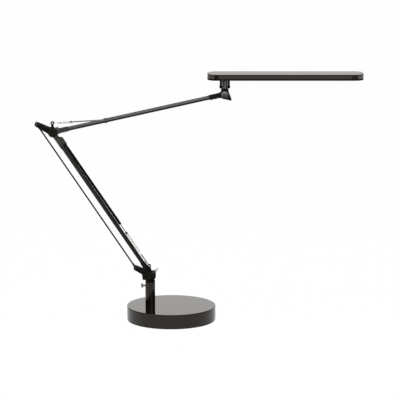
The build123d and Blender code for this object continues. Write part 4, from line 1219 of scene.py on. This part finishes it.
# %% Stud web
WEB_HALF = 2.4
WEB_OUTLINE = [(13.4, 4.0, 0), (20.8, 11.4, 0), (37.0, 11.4, 0), (41.0, 9.0, 0), (43.0, 4.0, 0)]
web = bar_of("stud_web", WEB_OUTLINE, 2 * WEB_HALF)
rounded(web, 0.5, 2, 20)
settle(web, at(ELBOW, LOWER_ANGLE + math.pi) @ FRONT @ Matrix.Translation((0, 0, -WEB_HALF * MM)))
give(web, "lower_arm", moulding_painted_highlight, "black_plastic")

# %% Hook washers
WASHER = [(1.35, 0), (3.7, 0), (4.0, 0.3), (4.0, 0.7), (3.8, 0.9), (1.6, 0.9), (1.35, 0.7), (1.35, 0)]
WASHER_Y = SPRING_Y - 0.45
for name, body, eye in (
    ("knee_hook_washer", "lower_tension", KNEE_EYE),
    ("elbow_hook_washer", "upper_tension", ELBOW_EYE),
):
    washer = turned(name, WASHER, 40)
    settle(washer, at(eye, y=WASHER_Y) @ FRONT)
    give(washer, body, rod_paint, "dark_metal")

# %% Sleeve and gland
spot, angle, _ = tension_frame(KNEE_EYE, LOWER_STUD)
sleeve_points = [(0.55, 3.0), (1.0, 3.2), (1.05, 3.8)]
for ring in (8.0, 15.0, 22.0):
    sleeve_points += [(1.05, ring), (0.92, ring + 0.3), (1.05, ring + 0.6)]
sleeve = turned("shank_sleeve", sleeve_points + [(1.05, 27.4), (0.95, 28.0), (0.55, 28.2), (0.55, 3.0)], 20)
settle(sleeve, ALONG)
settle(sleeve, at(spot, angle, SPRING_Y))
give(sleeve, "lower_tension", black_moulding, "black_plastic")

gland = turned("ribbed_gland", [
    (1.8, 0), (3.7, 0), (4.2, 0.3), (4.2, 1.0), (3.9, 1.5), (2.7, 1.5), (2.7, 3.4), (2.3, 3.6), (2.3, 4.2),
    (2.7, 4.4), (2.7, 5.2), (2.3, 5.4), (2.3, 6.0), (2.7, 6.2), (2.7, 8.3), (1.8, 8.5), (1.8, 0),
], 40)
gland_back = middle("cord_gland")
gland_back.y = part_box("cord_gland")[1].y
settle(gland, Matrix.Translation(gland_back) @ FRONT)
give(gland, "base", foot_rubber, "rubber", "cord_gland")

# %% [markdown]
# ## Floor and light
# A white sheet runs under the lamp, and the camera and reflections see it just short of full white, as
# they see the backdrop. The studio round it is bright behind and overhead, where the glossy tops look,
# and darker at the sides, which draws the dark outlines that black objects need.

# %% Floor
FLOOR_WHITE = 0.985


def floor_material():
    """White paper that keeps a faint shadow, and shows white to the camera and in reflections."""
    material, place = blank("paper")
    fibre = grain(place, 3 * MM, 4.0)
    tone = fibre.mix((0.82, 0.82, 0.82), (0.86, 0.86, 0.86))
    diffuse = place.node("BsdfDiffuse", None, {"Color": tone})
    white = place.node("Emission", None, {"Color": (1, 1, 1), "Strength": 1.0})
    camera_ray = place.node("LightPath", out="Is Camera Ray")
    glossy_ray = place.node("LightPath", out="Is Glossy Ray")
    through_ray = place.node("LightPath", out="Is Transmission Ray")
    share = (camera_ray + glossy_ray + through_ray) * FLOOR_WHITE
    return surfaced(material, place.node("MixShader", None, {0: share, 1: diffuse, 2: white}))


bpy.ops.object.select_all(action="DESELECT")
bpy.ops.mesh.primitive_plane_add(size=60)
floor = bpy.context.object
floor.name = "floor"
floor.data.materials.append(floor_material())

# %% World
SIDES, BACKDROP, CEILING, BEHIND_CAMERA = 0.10, 1.12, 0.40, 0.40

world = bpy.data.worlds.new("studio")
bpy.context.scene.world = world
world.use_nodes = True
world.node_tree.nodes.clear()
sky = Signal(world.node_tree)
way = sky.node("TexCoord", out="Generated")
ahead = sky.node("SeparateXYZ", None, {0: way}, out="Y")
high = sky.node("SeparateXYZ", None, {0: way}, out="Z")
backdrop = ahead.above(0.74, 0.12) * (1 - high.above(0.55, 0.15))
ceiling = high.above(0.55, 0.20)
camera_side = (0 - ahead).above(0.60, 0.20)
level = SIDES + backdrop * BACKDROP + ceiling * CEILING + camera_side * BEHIND_CAMERA
background = sky.node("Background", None, {"Color": (1.0, 0.985, 0.965), "Strength": level})
sky.node("OutputWorld", None, {"Surface": background})

# %% Softboxes


def softbox(name, place, target, width, height, power):
    """A rectangular lamp that points at a target."""
    bpy.ops.object.light_add(type="AREA", location=place)
    lamp = bpy.context.object
    lamp.name = name
    lamp.data.shape = "RECTANGLE"
    lamp.data.size = width
    lamp.data.size_y = height
    lamp.data.energy = power
    lamp.rotation_euler = (Vector(target) - Vector(place)).to_track_quat("-Z", "Y").to_euler()


softbox("overhead_box", (0.05, -0.45, 2.2), (0.05, 0.0, 0.4), 1.9, 0.9, 20)
softbox("right_box", (1.5, -1.9, 1.1), (-0.1, 0, 0.3), 0.9, 1.3, 9)
softbox("left_box", (-1.7, -0.9, 1.4), (-0.1, 0, 0.3), 0.7, 1.3, 7)
print("floor, world and lights are in")
